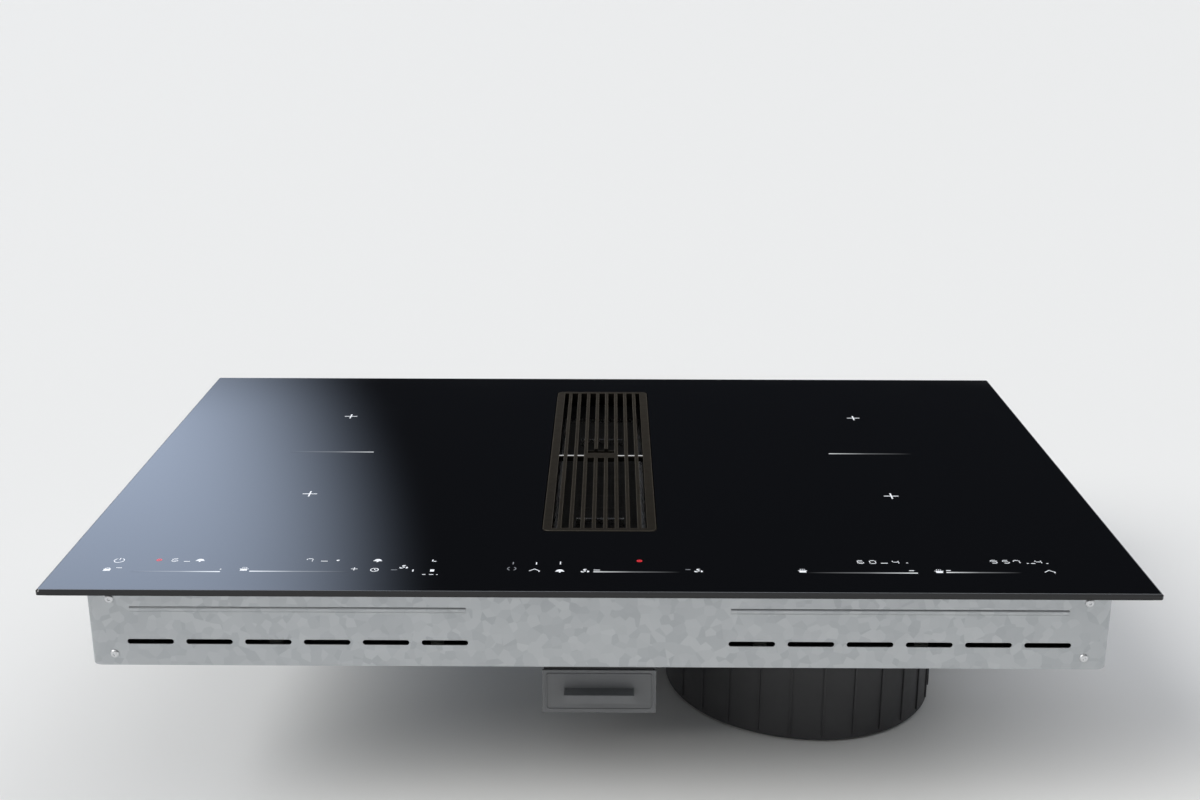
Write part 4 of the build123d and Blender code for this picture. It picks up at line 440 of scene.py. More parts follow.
# %% Bronze coat
WEAR_DEPTH = 1.5 * MM
grille_coat = finish("bronze_cast", (0.026, 0.023, 0.0185), 0.40, 0.9, name="bronze_coat")
grille_coat.shader.inputs["Specular Tint"].default_value = (0.68, 0.635, 0.575, 1)
grille_coat.tint(grille_coat.noise(14 * MM, 4.0), (0.018, 0.016, 0.013))
rubbed = grille_coat.both(grille_coat.edges(0.9 * MM), grille_coat.near_top(grille_high.z, WEAR_DEPTH))
grille_coat.tint(rubbed, (0.20, 0.18, 0.15))
grille_coat.gloss(grille_coat.noise(5 * MM), 0.32, 0.50)
grille_coat.bump(grille_coat.noise(0.35 * MM, 2.0), 0.03 * MM, 0.5)
print("wear down to", round((grille_high.z - WEAR_DEPTH) / MM, 1), "mm")

# %% [markdown]
# ### Bare metals
# The casing is galvanised sheet, whose zinc freezes into crystals of different gloss, so cells drive its
# colour and its roughness. Aluminium and stainless parts carry the fine parallel lines of rolling or
# extrusion. Real scratches would be far too many to model, so noise is stretched fiftyfold along one
# axis.

# %% Metals
BRUSHED = (1, 0.02, 1)
zinc = finish("galvanised_sheet", (0.50, 0.52, 0.53), 0.38, 0.9)
spangle = zinc.cells(7 * MM)
zinc.tint(zinc.between(spangle["Color"], 0.0, 0.65), (0.33, 0.35, 0.37))
zinc.tint(zinc.between(zinc.noise(60 * MM, 2.0), 0.0, 0.5), (0.44, 0.455, 0.47))
zinc.gloss(spangle["Color"], 0.30, 0.48)
zinc.bump(zinc.noise(2 * MM), 0.02 * MM, 0.4)

steel = finish("stainless", (0.58, 0.57, 0.55), 0.26, 1.0)
steel.gloss(steel.noise(1.2 * MM, 3.0, BRUSHED), 0.18, 0.36)
steel.bump(steel.noise(0.5 * MM, 2.0, BRUSHED), 0.01 * MM, 0.5)

# The filter's stainless is set nearly black: painted shade for the shade under the grille.
shaded_mesh_steel = finish("stainless_mesh", (0.09, 0.087, 0.083), 0.45, 1.0)
warp = shaded_mesh_steel.stripes(420.0, "X")
weft = shaded_mesh_steel.stripes(420.0, "Y")
shaded_mesh_steel.bump(warp, 0.3 * MM).bump(weft, 0.3 * MM)
shaded_mesh_steel.tint(warp, (0.05, 0.048, 0.046))

aluminium = finish("cast_aluminium", (0.66, 0.67, 0.68), 0.34, 1.0, name="aluminium")
aluminium.gloss(aluminium.noise(1.5 * MM, 3.0, BRUSHED), 0.25, 0.45)
aluminium.bump(aluminium.noise(0.8 * MM, 2.0, BRUSHED), 0.015 * MM, 0.6)

spring = finish("spring_steel", (0.20, 0.22, 0.26), 0.3, 1.0)
spring.tint(spring.noise(6 * MM), (0.12, 0.14, 0.20))
spring.bump(spring.noise(0.6 * MM), 0.01 * MM, 0.5)

screw_zinc = finish("zinc_screws", (0.62, 0.61, 0.57), 0.25, 1.0, name="zinc_plate")
screw_zinc.tint(screw_zinc.noise(3 * MM), (0.50, 0.52, 0.50))
screw_zinc.gloss(screw_zinc.noise(1 * MM), 0.18, 0.4)

bearing = finish("bearing_steel", (0.60, 0.60, 0.61), 0.15, 1.0)
bearing.gloss(bearing.noise(1 * MM), 0.1, 0.25)

rotor_paint = finish("rotor_steel", (0.045, 0.046, 0.05), 0.4, 0.3, name="rotor_paint")
rotor_paint.bump(rotor_paint.noise(0.5 * MM), 0.02 * MM, 0.5)
rotor_paint.tint(rotor_paint.noise(12 * MM), (0.07, 0.07, 0.075))
print("metals:", len(finishes))

# %% [markdown]
# ### Moulded plastics and rubber
# Housings are moulded in plastic with a spark-eroded grain: a fine pebble, deeper on the big black
# shells, almost gone on the pale electrical parts. Rubber and foam are nearly black and so rough that
# they hardly shine, and foam has open cells.

# %% Plastics, rubber and foam
for slot, color, other, rough, grain, depth in (
    ("black_plastic", (0.022, 0.022, 0.024), (0.032, 0.032, 0.034), 0.5, 0.9, 0.05),
    ("grey_plastic", (0.155, 0.16, 0.168), (0.18, 0.185, 0.19), 0.48, 0.8, 0.04),
    ("white_plastic", (0.66, 0.65, 0.61), (0.60, 0.59, 0.54), 0.42, 0.6, 0.02),
    ("rubber", (0.028, 0.028, 0.029), (0.04, 0.04, 0.04), 0.72, 0.5, 0.03),
    ("silicone", (0.05, 0.05, 0.052), (0.06, 0.06, 0.062), 0.6, 0.4, 0.02),
    ("cable_sheath", (0.035, 0.035, 0.038), (0.05, 0.05, 0.052), 0.45, 0.5, 0.02),
):
    moulded = finish(slot, color, rough)
    moulded.tint(moulded.noise(25 * MM), other)
    moulded.gloss(moulded.noise(6 * MM), rough - 0.08, rough + 0.08)
    moulded.bump(moulded.cells(grain * MM)["Distance"], depth * MM, 0.6)

foam = finish("foam", (0.02, 0.02, 0.02), 0.95)
foam.tint(foam.noise(3 * MM), (0.035, 0.035, 0.035))
foam.bump(foam.cells(0.7 * MM)["Distance"], 0.3 * MM)

for slot, color, other in (
    ("clear_plastic", (0.70, 0.72, 0.75), (0.60, 0.62, 0.66)),
    ("display_plastic", (0.02, 0.02, 0.022), (0.03, 0.03, 0.032)),
    ("capacitor_can", (0.05, 0.07, 0.20), (0.04, 0.05, 0.14)),
):
    gloss = finish(slot, color, 0.15)
    gloss.tint(gloss.noise(8 * MM), other)
    gloss.gloss(gloss.noise(3 * MM), 0.1, 0.25)
print("finishes:", len(finishes))

# %% [markdown]
# ### Electrical materials
# A circuit board is green lacquer over copper tracks, so a pattern of straight cells shows through it as
# a lighter green with a slight relief. Enamelled copper shines orange. Ferrite is a dull sintered grey,
# mica a pressed sheet of flakes, and ribbon cable has one bright line for each wire.

# %% Boards, copper, ferrite, mica and ribbon
board = finish("circuit_board", (0.012, 0.085, 0.035), 0.3)
tracks = board.node("TexBrick", Scale=120.0, Mortar_Size=0.06, Bias=-0.2)
tracks.inputs["Color1"].default_value = (0, 0, 0, 1)
tracks.inputs["Color2"].default_value = (0.25, 0.25, 0.25, 1)
tracks.inputs["Mortar"].default_value = (1, 1, 1, 1)
board.link(board.stretched((1, 1, 0)), tracks.inputs["Vector"])
board.tint(tracks.outputs["Color"], (0.03, 0.20, 0.075))
board.bump(tracks.outputs["Fac"], 0.04 * MM, 0.7)
pads = board.cells(5 * MM)
board.tint(board.ramped(pads["Distance"], 0.16, 0.12), (0.45, 0.46, 0.47))

copper = finish("copper_winding", (0.55, 0.22, 0.09), 0.32, 0.85, name="enamelled_copper")
copper.tint(copper.noise(4 * MM, 4.0), (0.40, 0.14, 0.05))
copper.bump(copper.cells(0.8 * MM, stretch=(1, 1, 0.4))["Distance"], 0.15 * MM, 0.8)

ferrite = finish("ferrite", (0.045, 0.045, 0.048), 0.55)
ferrite.tint(ferrite.noise(2 * MM), (0.08, 0.08, 0.085))
ferrite.bump(ferrite.noise(0.5 * MM), 0.05 * MM, 0.6)

mica = finish("mica", (0.50, 0.46, 0.36), 0.4)
mica.tint(mica.cells(4 * MM, stretch=(1, 1, 0.2))["Color"], (0.62, 0.58, 0.48))
mica.gloss(mica.noise(3 * MM), 0.25, 0.6)

ribbon = finish("ribbon_sheath", (0.42, 0.43, 0.45), 0.4)
cores = ribbon.stripes(250.0, "X")
ribbon.tint(cores, (0.25, 0.26, 0.28))
ribbon.bump(cores, 0.3 * MM)
print("finishes in all:", len(finishes))

# %% [markdown]
# ## Dressing the solids
# Each solid's record names the stuff that it is made of. Picking materials by hand would work too, but a
# loop over the record can't forget a part or give two parts of one stuff different finishes.

# %% Dress every solid
for name, solid in nodes.items():
    material = finishes[slot_of[name]]
    solid.data.materials.clear()
    solid.data.materials.append(material)
print("dressed:", len(nodes), "solids with", len(finishes), "finishes")

# %% [markdown]
# ## Small parts
# Pressed beads, rivets, rods and ribs are finer than the solids. They could be cut into each solid with
# modifiers, but the solids stay as they are, and these parts really are raised on top of their walls.
# They repeat, so one workshop makes them all: eased bars, turned shapes and round beads, gathered into
# one mesh.

# %% Workshop for small parts
# Faces that meet at more than this many degrees keep a sharp edge between them.
SHARP_TURN = 40


def made_piece(name, gathered, material):
    """What a bmesh has GATHERED, as an object in the scene."""
    mesh = bpy.data.meshes.new(name)
    gathered.to_mesh(mesh)
    gathered.free()
    mesh.materials.append(material)
    piece = bpy.data.objects.new(name, mesh)
    scene.collection.objects.link(piece)
    return piece


class Workshop:
    """Gathers small shapes, in millimetres, into one piece."""

    def __init__(self):
        self.mesh = bmesh.new()

    def bar(self, low, high, ease=0.3, stand=Matrix()):
        """A bar with eased edges between two corners, turned and moved by STAND."""
        middle = (Vector(low) + Vector(high)) / 2
        size = Vector(high) - Vector(low)
        place = Matrix.Scale(MM, 4) @ stand @ Matrix.Translation(middle) @ Matrix.Diagonal((*size, 1))
        verts = bmesh.ops.create_cube(self.mesh, size=1.0, matrix=place)["verts"]
        edges = list({edge for vert in verts for edge in vert.link_edges})
        bmesh.ops.bevel(self.mesh, geom=edges, offset=ease * MM, segments=2, profile=0.5, affect="EDGES")

    def skin(self, rings, closed=False):
        """Joins rings of points with faces, and caps the ends unless the rings close on themselves."""
        rings = [[self.mesh.verts.new(point * MM) for point in ring] for ring in rings]
        pairs = list(zip(rings, rings[1:])) + ([(rings[-1], rings[0])] if closed else [])
        for low, high in pairs:
            for i in range(len(low)):
                j = (i + 1) % len(low)
                self.mesh.faces.new((low[i], low[j], high[j], high[i]))
        if not closed:
            self.mesh.faces.new(rings[0][::-1])
            self.mesh.faces.new(rings[-1])

    def turned(self, profile, place, towards, steps=24):
        """PROFILE, pairs of radius and height, spun round the line from PLACE along TOWARDS."""
        spin = Vector(towards).to_track_quat("Z", "Y")
        angles = [2 * math.pi * i / steps for i in range(steps)]
        self.skin([
            [Vector(place) + spin @ Vector((r * math.cos(a), r * math.sin(a), h)) for a in angles]
            for r, h in profile
        ])

    def bead(self, points, radius, normal, closed=False, steps=10):
        """A round bead along POINTS, which all lie in the plane across NORMAL."""
        points = [Vector(point) for point in points]
        rings = []
        for i, point in enumerate(points):
            before = points[i - 1] if i or closed else point
            after = points[(i + 1) % len(points)] if closed or i + 1 < len(points) else point
            side = (after - before).cross(Vector(normal)).normalized()
            angles = [2 * math.pi * k / steps for k in range(steps)]
            round_it = [math.cos(a) * side + math.sin(a) * Vector(normal) for a in angles]
            rings.append([point + radius * spoke for spoke in round_it])
        self.skin(rings, closed)

    def finish(self, name, body, slot, material=None):
        """Turns what was gathered into a piece that rides on BODY."""
        bmesh.ops.recalc_face_normals(self.mesh, faces=self.mesh.faces)
        piece = made_piece(name, self.mesh, material or finishes[slot])
        piece.data.shade_smooth()
        piece.data.set_sharp_from_angle(angle=math.radians(SHARP_TURN))
        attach(piece, body)
        print(name, "faces:", len(piece.data.polygons))


# %% [markdown]
# ### Feeling for a wall
# A rib has to stand on its wall, wherever that is. Its place could be typed in, but it would be lost when
# a size changes. Instead a ray is sent from outside, as a finger feels for the wall, and the rib goes
# where it lands.

# %% Rays that find a wall
RIB_WIDE = 1.6
RIB_PROUD = 1.3
RIB_SUNK = 1.0


def skin_of(node):
    mesh = nodes[node].data
    corners = [vert.co for vert in mesh.vertices]
    return BVHTree.FromPolygons(corners, [face.vertices for face in mesh.polygons])


def wall_from(skin, start, towards):
    """Where a ray from START, in millimetres, first meets the SKIN, or None."""
    place = skin.ray_cast(Vector(start) * MM, Vector(towards).normalized())[0]
    return place / MM if place is not None else None


def upright_rib(workshop, skin, start, towards, low, high):
    """A rib from height LOW to HIGH, on the wall that a level ray from START meets."""
    place = wall_from(skin, start, towards)
    if place is None:
        return
    outward = -Vector(towards).normalized()
    turn = Matrix.Rotation(math.atan2(outward.y, outward.x), 4, "Z")
    stand = Matrix.Translation((place.x, place.y, 0)) @ turn
    workshop.bar((-RIB_SUNK, -RIB_WIDE / 2, low), (RIB_PROUD, RIB_WIDE / 2, high), stand=stand)


# %% [markdown]
# ### Tie rods of the grille
# Between the outer blades, two polished steel rods lie half sunk in the low crossbar, and they are the
# brightest points of the grille. A rod is a turned shape with eased ends. Its roundness matters, since it
# mirrors the bright ceiling as one thin line from wherever it is seen.

# %% Tie rods
ROD_RADIUS = 0.8
ROD_EASE = 0.25
ROD_ENDS = (13.5, 38.0)
CROSSBAR_DROP = 2.5
ROD_AHEAD = 2.6
grille_middle = (grille_low.y + grille_high.y) / 2 / MM
rod_y = grille_middle - ROD_AHEAD
rod_z = grille_high.z / MM - CROSSBAR_DROP
rod_long = ROD_ENDS[1] - ROD_ENDS[0]
rods = Workshop()
for side in (-1, 1):
    tip = ROD_RADIUS - ROD_EASE
    profile = ((tip, 0.0), (ROD_RADIUS, ROD_EASE), (ROD_RADIUS, rod_long - ROD_EASE), (tip, rod_long))
    rods.turned(profile, (side * ROD_ENDS[0], rod_y, rod_z), (side, 0, 0))
polished = Finish("polished_rod", (0.80, 0.80, 0.79), 0.12, 1.0)
polished.gloss(polished.noise(1 * MM), 0.08, 0.18)
rods.finish("tie_rods", "grille", "stainless", polished.material)

# %% [markdown]
# ### Wire mesh of the grease filter
# Over its slotted sheet the filter carries a fine wire mesh, the first thing that shows between the
# blades. A relief in the finish could draw it from above, but at a low angle only real wires close up
# into one dark surface. The wires along the filter lie on the sheet and those across it lie on them, as
# in welded mesh.

# %% Wire mesh
WIRE_RADIUS = 0.3
WIRE_PITCH = 2.0
WIRE_INSET = 1.0
to_right, to_back, to_top = (Vector(way) for way in ((1, 0, 0), (0, 1, 0), (0, 0, 1)))
sheet_low, sheet_high = (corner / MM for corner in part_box("filter_mesh"))
half = (sheet_high - sheet_low) / 2
sheet_top = sheet_high - half.x * to_right - half.y * to_back
wide = half.x - WIRE_INSET
deep = half.y - WIRE_INSET
wires = Workshop()
for beside, reach, along, span, lift in (
    (to_right, wide, to_back, deep, 1), (to_back, deep, to_right, wide, 3),
):
    count = int(2 * reach // WIRE_PITCH)
    for i in range(count + 1):
        middle = sheet_top + (i - count / 2) * WIRE_PITCH * beside + lift * WIRE_RADIUS * to_top
        wires.bead((middle - span * along, middle + span * along), WIRE_RADIUS, to_top, steps=6)
# The wires are set nearly black too: painted shade for the shade under the grille.
shaded_wire_steel = Finish("shaded_wire_steel", (0.10, 0.10, 0.10), 0.5, 1.0)
shaded_wire_steel.tint(shaded_wire_steel.noise(25 * MM), (0.07, 0.068, 0.064))
wires.finish("filter_wires", "grease_filter", "stainless_mesh", shaded_wire_steel.material)

# %% [markdown]
# ### Pressed beads of the casing
# A wide wall of thin sheet drums and dents, so it is stiffened with pressed beads. Round bars, sunk until
# less than a millimetre stands proud, give the outline of a pressed bead without cutting the solid.

# %% Beads and rivets of the casing
BEAD_DROP = 17.0
BEAD_RADIUS = 3.2
BEAD_PROUD = 0.9
FRONT_BEAD_ENDS = (96.0, 340.0)
SIDE_BEAD_END = 112.0
RIVET_INSET = 18.0
RIVET_DROPS = (9.0, 53.0)
RIVET = ((3.3, -0.5), (3.3, 0.25), (2.9, 0.8), (2.0, 1.15), (1.1, 1.2), (0.9, 0.7), (0.5, 0.6))
wall_x = casing_high.x / MM
wall_y = casing_high.y / MM
beads = Workshop()
for way in (-1, 1):
    for side in (-1, 1):
        sunk = way * (wall_y - BEAD_RADIUS + BEAD_PROUD)
        ends = [(side * end, sunk, -BEAD_DROP) for end in FRONT_BEAD_ENDS]
        beads.bead(ends, BEAD_RADIUS, (0, 1, 0), steps=20)
    sunk = way * (wall_x - BEAD_RADIUS + BEAD_PROUD)
    ends = [(sunk, end, -BEAD_DROP) for end in (-SIDE_BEAD_END, SIDE_BEAD_END)]
    beads.bead(ends, BEAD_RADIUS, (1, 0, 0), steps=20)
beads.finish("casing_beads", "chassis", "galvanised_sheet")

rivets = Workshop()
for x_way in (-1, 1):
    for y_way in (-1, 1):
        for drop in RIVET_DROPS:
            rivets.turned(RIVET, (x_way * (wall_x - RIVET_INSET), y_way * wall_y, -drop), (0, y_way, 0), 20)
            rivets.turned(RIVET, (x_way * wall_x, y_way * (wall_y - RIVET_INSET), -drop), (x_way, 0, 0), 20)
rivets.finish("casing_rivets", "chassis", "cast_aluminium")
print("walls at:", round(wall_x, 1), round(wall_y, 1))

# %% [markdown]
# ### Ribs of the blower and the duct
# Moulded shells are kept thin and stiff by ribs on the outside. Round the volute each rib points at the
# fan's axis, so its ray starts on a wide circle and runs towards that axis. On the duct the rays run
# straight in.

# %% Ribs of the black shells
FAN_AXIS = (195.0, 15.0)
VOLUTE_RIB_TURNS = range(-158, 72, 13)
VOLUTE_RIB_START = 140.0
VOLUTE_RIB_LEVEL = -160.0
VOLUTE_RIB_INSETS = (3.5, 3.0)
DUCT_RIB_YS = range(-128, 220, 38)
DUCT_RIB_XS = (-36, -12, 12, 36)
DUCT_RIB_LEVEL = -100.0
DUCT_RIB_ENDS = (-147.0, -71.0)
# How far out the rays start.
FEELER = 400.0
volute_skin = skin_of("volute_tub")
rib_low = volute_low.z / MM + VOLUTE_RIB_INSETS[0]
rib_high = volute_high.z / MM - VOLUTE_RIB_INSETS[1]
ribs = Workshop()
for turn in VOLUTE_RIB_TURNS:
    away = Vector((math.cos(math.radians(turn)), math.sin(math.radians(turn)), 0))
    start = Vector((*FAN_AXIS, VOLUTE_RIB_LEVEL)) + away * VOLUTE_RIB_START
    upright_rib(ribs, volute_skin, start, -away, rib_low, rib_high)
duct_skin = skin_of("duct_tub")
for y in DUCT_RIB_YS:
    upright_rib(ribs, duct_skin, (-FEELER, y, DUCT_RIB_LEVEL), (1, 0, 0), *DUCT_RIB_ENDS)
for x in DUCT_RIB_XS:
    upright_rib(ribs, duct_skin, (x, FEELER, DUCT_RIB_LEVEL), (0, -1, 0), *DUCT_RIB_ENDS)
ribs.finish("shell_ribs", "chassis", "black_plastic")

# %% [markdown]
# ### Spigot of the air outlet
# The flat duct is pushed over the spigot, so it has a soft double lip that seals and small ramps that the
# duct snaps over. Each half of the lip is a bead that runs once round a rounded rectangle.

# %% Lip of the spigot
SPIGOT_CORNER = 8.0
CORNER_STEPS = 6
LIP_INSET = 7.0
LIP_SPACING = 4.0
LIP_RADIUS = 0.9
outlet_low, outlet_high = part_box("air_outlet")


def rounded_loop(left, right, low, high, corner, y):
    """Points of a rounded rectangle that stands at depth Y."""
    points = []
    for x, z, first in ((right, high, 0), (left, high, 90), (left, low, 180), (right, low, 270)):
        centre_x = x - math.copysign(corner, x - (left + right) / 2)
        centre_z = z - math.copysign(corner, z - (low + high) / 2)
        for i in range(CORNER_STEPS + 1):
            a = math.radians(first + 90 * i / CORNER_STEPS)
            points.append((centre_x + corner * math.cos(a), y, centre_z + corner * math.sin(a)))
    return points


outlet_skin = skin_of("air_outlet")
spigot_x = (outlet_low.x + outlet_high.x) / 2 / MM
lip_y = outlet_high.y / MM - LIP_INSET
spigot_top = wall_from(outlet_skin, (spigot_x, lip_y, 0.0), (0, 0, -1)).z
spigot_bottom = wall_from(outlet_skin, (spigot_x, lip_y, -FEELER), (0, 0, 1)).z
spigot_z = (spigot_top + spigot_bottom) / 2
spigot_right = wall_from(outlet_skin, (FEELER, lip_y, spigot_z), (-1, 0, 0)).x
spigot_left = wall_from(outlet_skin, (-FEELER, lip_y, spigot_z), (1, 0, 0)).x
lip = Workshop()
for y in (lip_y, lip_y - LIP_SPACING):
    loop = rounded_loop(spigot_left, spigot_right, spigot_bottom, spigot_top, SPIGOT_CORNER, y)
    lip.bead(loop, LIP_RADIUS, (0, 1, 0), closed=True)
lip.finish("spigot_lip", "chassis", "rubber")

# %% Ramps of the spigot
RAMP_INSETS = (14.0, 8.0)
RAMP_SUNK = 1.0
RAMP_PROUD = 1.2
RAMP_EASE = 0.5
FLAT_RAMP_SHARES = (0.2, 0.5, 0.8)
FLAT_RAMP_HALF = 7.0
SIDE_RAMP_INSET = 24.0
SIDE_RAMP_HALF = 5.0
front, back = (lip_y - inset for inset in RAMP_INSETS)
ramps = Workshop()
for share in FLAT_RAMP_SHARES:
    x = spigot_left + share * (spigot_right - spigot_left)
    for wall, way in ((spigot_top, 1), (spigot_bottom, -1)):
        low, high = sorted((wall - way * RAMP_SUNK, wall + way * RAMP_PROUD))
        ramps.bar((x - FLAT_RAMP_HALF, front, low), (x + FLAT_RAMP_HALF, back, high), RAMP_EASE)
for z in (spigot_bottom + SIDE_RAMP_INSET, spigot_top - SIDE_RAMP_INSET):
    for wall, way in ((spigot_right, 1), (spigot_left, -1)):
        left, right = sorted((wall - way * RAMP_SUNK, wall + way * RAMP_PROUD))
        ramps.bar((left, front, z - SIDE_RAMP_HALF), (right, back, z + SIDE_RAMP_HALF), RAMP_EASE)
ramps.finish("spigot_ramps", "chassis", "black_plastic")
print("spigot:", round(spigot_right - spigot_left, 1), "x", round(spigot_top - spigot_bottom, 1), "mm")

# %% [markdown]
# ### Screws, earth stud and cross recesses
# The heads of the clamp screws are plain in the solid. A recess could be cut with a boolean, which leaves
# ragged faces at this size, so each head gets a dark cross, half sunk in it: painted shade that stands for
# the shade inside the recess. The earth stud beside the mains entry is turned and has a six-sided nut.

# %% Recesses and earth stud
CLAMP_YS = (-150.0, 150.0)
RECESS = 2.6
RECESS_STROKE = 0.9
RECESS_DEEP = 0.3
RECESS_EASE = 0.1
screw_low, screw_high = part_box("clamp_screws")
head_x = screw_high.x / MM
head_z = (screw_low.z + screw_high.z) / 2 / MM
# Dark crosses of painted shade, one on each screw head.
recess_shade = Workshop()
for side in (-1, 1):
    for y in CLAMP_YS:
        for size_y, size_z in ((RECESS, RECESS_STROKE / 2), (RECESS_STROKE / 2, RECESS)):
            head = Vector((side * head_x, y, head_z))
            half = Vector((RECESS_DEEP, size_y, size_z))
            recess_shade.bar(head - half, head + half, RECESS_EASE)
recess_shade.finish("screw_recess_shade", "chassis", "rotor_steel")

STUD_PLACE = (-262.0, wall_y, -24.0)
STUD_WASHER = ((6.0, 0.0), (6.0, 1.0), (5.8, 1.2), (2.2, 1.2))
STUD_NUT = ((3.6, 1.0), (4.0, 1.4), (4.0, 4.0), (3.6, 4.4))
STUD_BOLT = ((2.0, 4.0), (2.0, 7.4), (1.6, 8.0))
stud = Workshop()
for profile, steps in ((STUD_WASHER, 32), (STUD_NUT, 6), (STUD_BOLT, 20)):
    stud.turned(profile, STUD_PLACE, (0, 1, 0), steps)
stud.finish("earth_stud", "chassis", "zinc_screws")

# %% [markdown]
# ### Drip tray
# The tray's front is framed by a raised bead, and its floor has three low ribs that guide spilt liquid.
# They are seen when the tray is drawn out, so they ride on the tray.

# %% Beads of the drip tray
PANEL_DROP = 5.0
FRAME_INSET = 3.2
FRAME_CORNER = 2.5
FRAME_RADIUS = 0.8
TRAY_RIB_XS = (-18, 0, 18)
TRAY_RIB_INSETS = (14, 12)
TRAY_RIB_RADIUS = 1.1
tray_skin = skin_of("drip_tray")
tray_low, tray_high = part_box("drip_tray")
panel = wall_from(tray_skin, (0.0, -FEELER, tray_high.z / MM - PANEL_DROP), (0, 1, 0))
edge_x = tray_high.x / MM - FRAME_INSET
low_z = tray_low.z / MM + FRAME_INSET
high_z = tray_high.z / MM - FRAME_INSET
tray_beads = Workshop()
frame_loop = rounded_loop(-edge_x, edge_x, low_z, high_z, FRAME_CORNER, panel.y)
tray_beads.bead(frame_loop, FRAME_RADIUS, (0, 1, 0), closed=True)
floor_hit = wall_from(tray_skin, (0.0, 0.0, 0.0), (0, 0, -1))
rib_front = panel.y + TRAY_RIB_INSETS[0]
rib_back = tray_high.y / MM - TRAY_RIB_INSETS[1]
for x in TRAY_RIB_XS:
    tray_beads.bead(((x, rib_front, floor_hit.z), (x, rib_back, floor_hit.z)), TRAY_RIB_RADIUS, (0, 0, 1))
tray_beads.finish("tray_beads", "drip_tray", slot_of["drip_tray"])
print("tray panel at", round(panel.y, 1), "mm, floor at", round(floor_hit.z, 1), "mm")

# %% [markdown]
# ## Marks on the glass
# The marks are screen-printed enamel, fired onto the glass, and some are lit from below by the displays.
# Ink like this could be painted as a texture, but a picture blurs close up, so each mark is a real sliver
# of enamel, 0.04 mm thick. The helper draws flat outlines in millimetres from the middle of the glass and
# raises each of them into a thin prism.

# %% Enamel
INK_THICK = 0.04
ARC_STEPS = 14


class Enamel:
    """Thin prisms of enamel that become one piece."""

    def __init__(self):
        self.prisms = Workshop()

    def outline(self, corners):
        heights = (GLASS_TOP / MM, GLASS_TOP / MM + INK_THICK)
        self.prisms.skin([[Vector((x, y, height)) for x, y in corners] for height in heights])

    def bar(self, x, y, width, height):
        left, right, low, high = x - width / 2, x + width / 2, y - height / 2, y + height / 2
        self.outline([(left, low), (right, low), (right, high), (left, high)])

    def line(self, x0, y0, x1, y1, width):
        along = Vector((x1 - x0, y1 - y0)).normalized() * width / 2
        across = Vector((-along.y, along.x))
        corners = [(x0, y0, -1, -1), (x1, y1, 1, -1), (x1, y1, 1, 1), (x0, y0, -1, 1)]
        self.outline([
            (x + a * along.x + b * across.x, y + a * along.y + b * across.y)
            for x, y, a, b in corners
        ])

    def arc(self, x, y, radius, width, start=0, sweep=360):
        """A curved stroke, drawn as two halves so that a whole ring keeps its hole."""
        for first in (start, start + sweep / 2):
            angles = [math.radians(first + sweep / 2 * i / ARC_STEPS) for i in range(ARC_STEPS + 1)]
            outer, inner = (
                [(x + reach * math.cos(a), y + reach * math.sin(a)) for a in angles]
                for reach in (radius + width / 2, radius - width / 2)
            )
            self.outline(outer + inner[::-1])

    def disc(self, x, y, radius, start=0, sweep=360):
        steps = 2 * ARC_STEPS
        angles = [math.radians(start + sweep * i / steps) for i in range(steps + (sweep < 360))]
        self.outline([(x + radius * math.cos(a), y + radius * math.sin(a)) for a in angles])

    def fire(self, name, material):
        """Turns the prisms into a piece that rides on the chassis."""
        piece = made_piece(name, self.prisms.mesh, material)
        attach(piece, "chassis")


# %% [markdown]
# ### Ground edge of the glass
# Where the polished top meets the facet, the glass is ground to a fine arris. The arris is coloured pale,
# for the ground glass and as a painted highlight for the glint along the edge, so a thin pale line runs
# round the black plate. An edge mask in the glass's own finish would mark every other edge too, so the
# line is one more flat sliver.

# %% Arris
GLASS_FACET = 1.3
GLASS_CORNER = 3.0
ARRIS_WIDE = 0.45
half_x = glass_high.x / MM
half_y = glass_high.y / MM
arris = Enamel()
corner_x = half_x - GLASS_CORNER
corner_y = half_y - GLASS_CORNER
inset = GLASS_FACET + ARRIS_WIDE / 2
for way in (-1, 1):
    arris.bar(0, way * (half_y - inset), 2 * corner_x, ARRIS_WIDE)
    arris.bar(way * (half_x - inset), 0, ARRIS_WIDE, 2 * corner_y)
for x, y, first in ((1, 1, 0), (-1, 1, 90), (-1, -1, 180), (1, -1, 270)):
    arris.arc(x * corner_x, y * corner_y, GLASS_CORNER - inset, ARRIS_WIDE, first, 90)
# Pale ground glass, which is partly a painted highlight along the edge.
ground_and_highlight = Finish("ground_glass_highlight", (0.16, 0.17, 0.18), 0.5)
ground_and_highlight.gloss(ground_and_highlight.noise(0.4 * MM), 0.35, 0.65)
arris.fire("glass_arris", ground_and_highlight.material)
print("arris:", ARRIS_WIDE, "mm wide")

# %% [markdown]
# ### Enamel and light
# The marks are white or grey enamel, red status lights, and lines that fade away at one end, and all of
# them shine by emission. On the numbers and the status lights it stands for the light of the displays, and
# on the printed crosses, pictograms and lines it is a painted glow. The fade uses generated coordinates,
# which run from 0 to 1 across each piece, so one material serves lines of any length.

# %% Finishes of the marks
# Place along the line, from 0 to 1, and brightness there.
FADE = ((0.0, 0.85), (0.45, 0.2), (1.0, 0.0))
FADE_TINT = (0.94, 0.97, 1.0)


# Enamel with emission: display light on the numbers, a painted glow on the printed marks.
def glowing_enamel(name, color, glow):
    made = Finish(name, color, 0.35)
    made.gloss(made.noise(2 * MM), 0.3, 0.45)
    made.shader.inputs["Emission Color"].default_value = (*color, 1)
    made.shader.inputs["Emission Strength"].default_value = glow
    return made


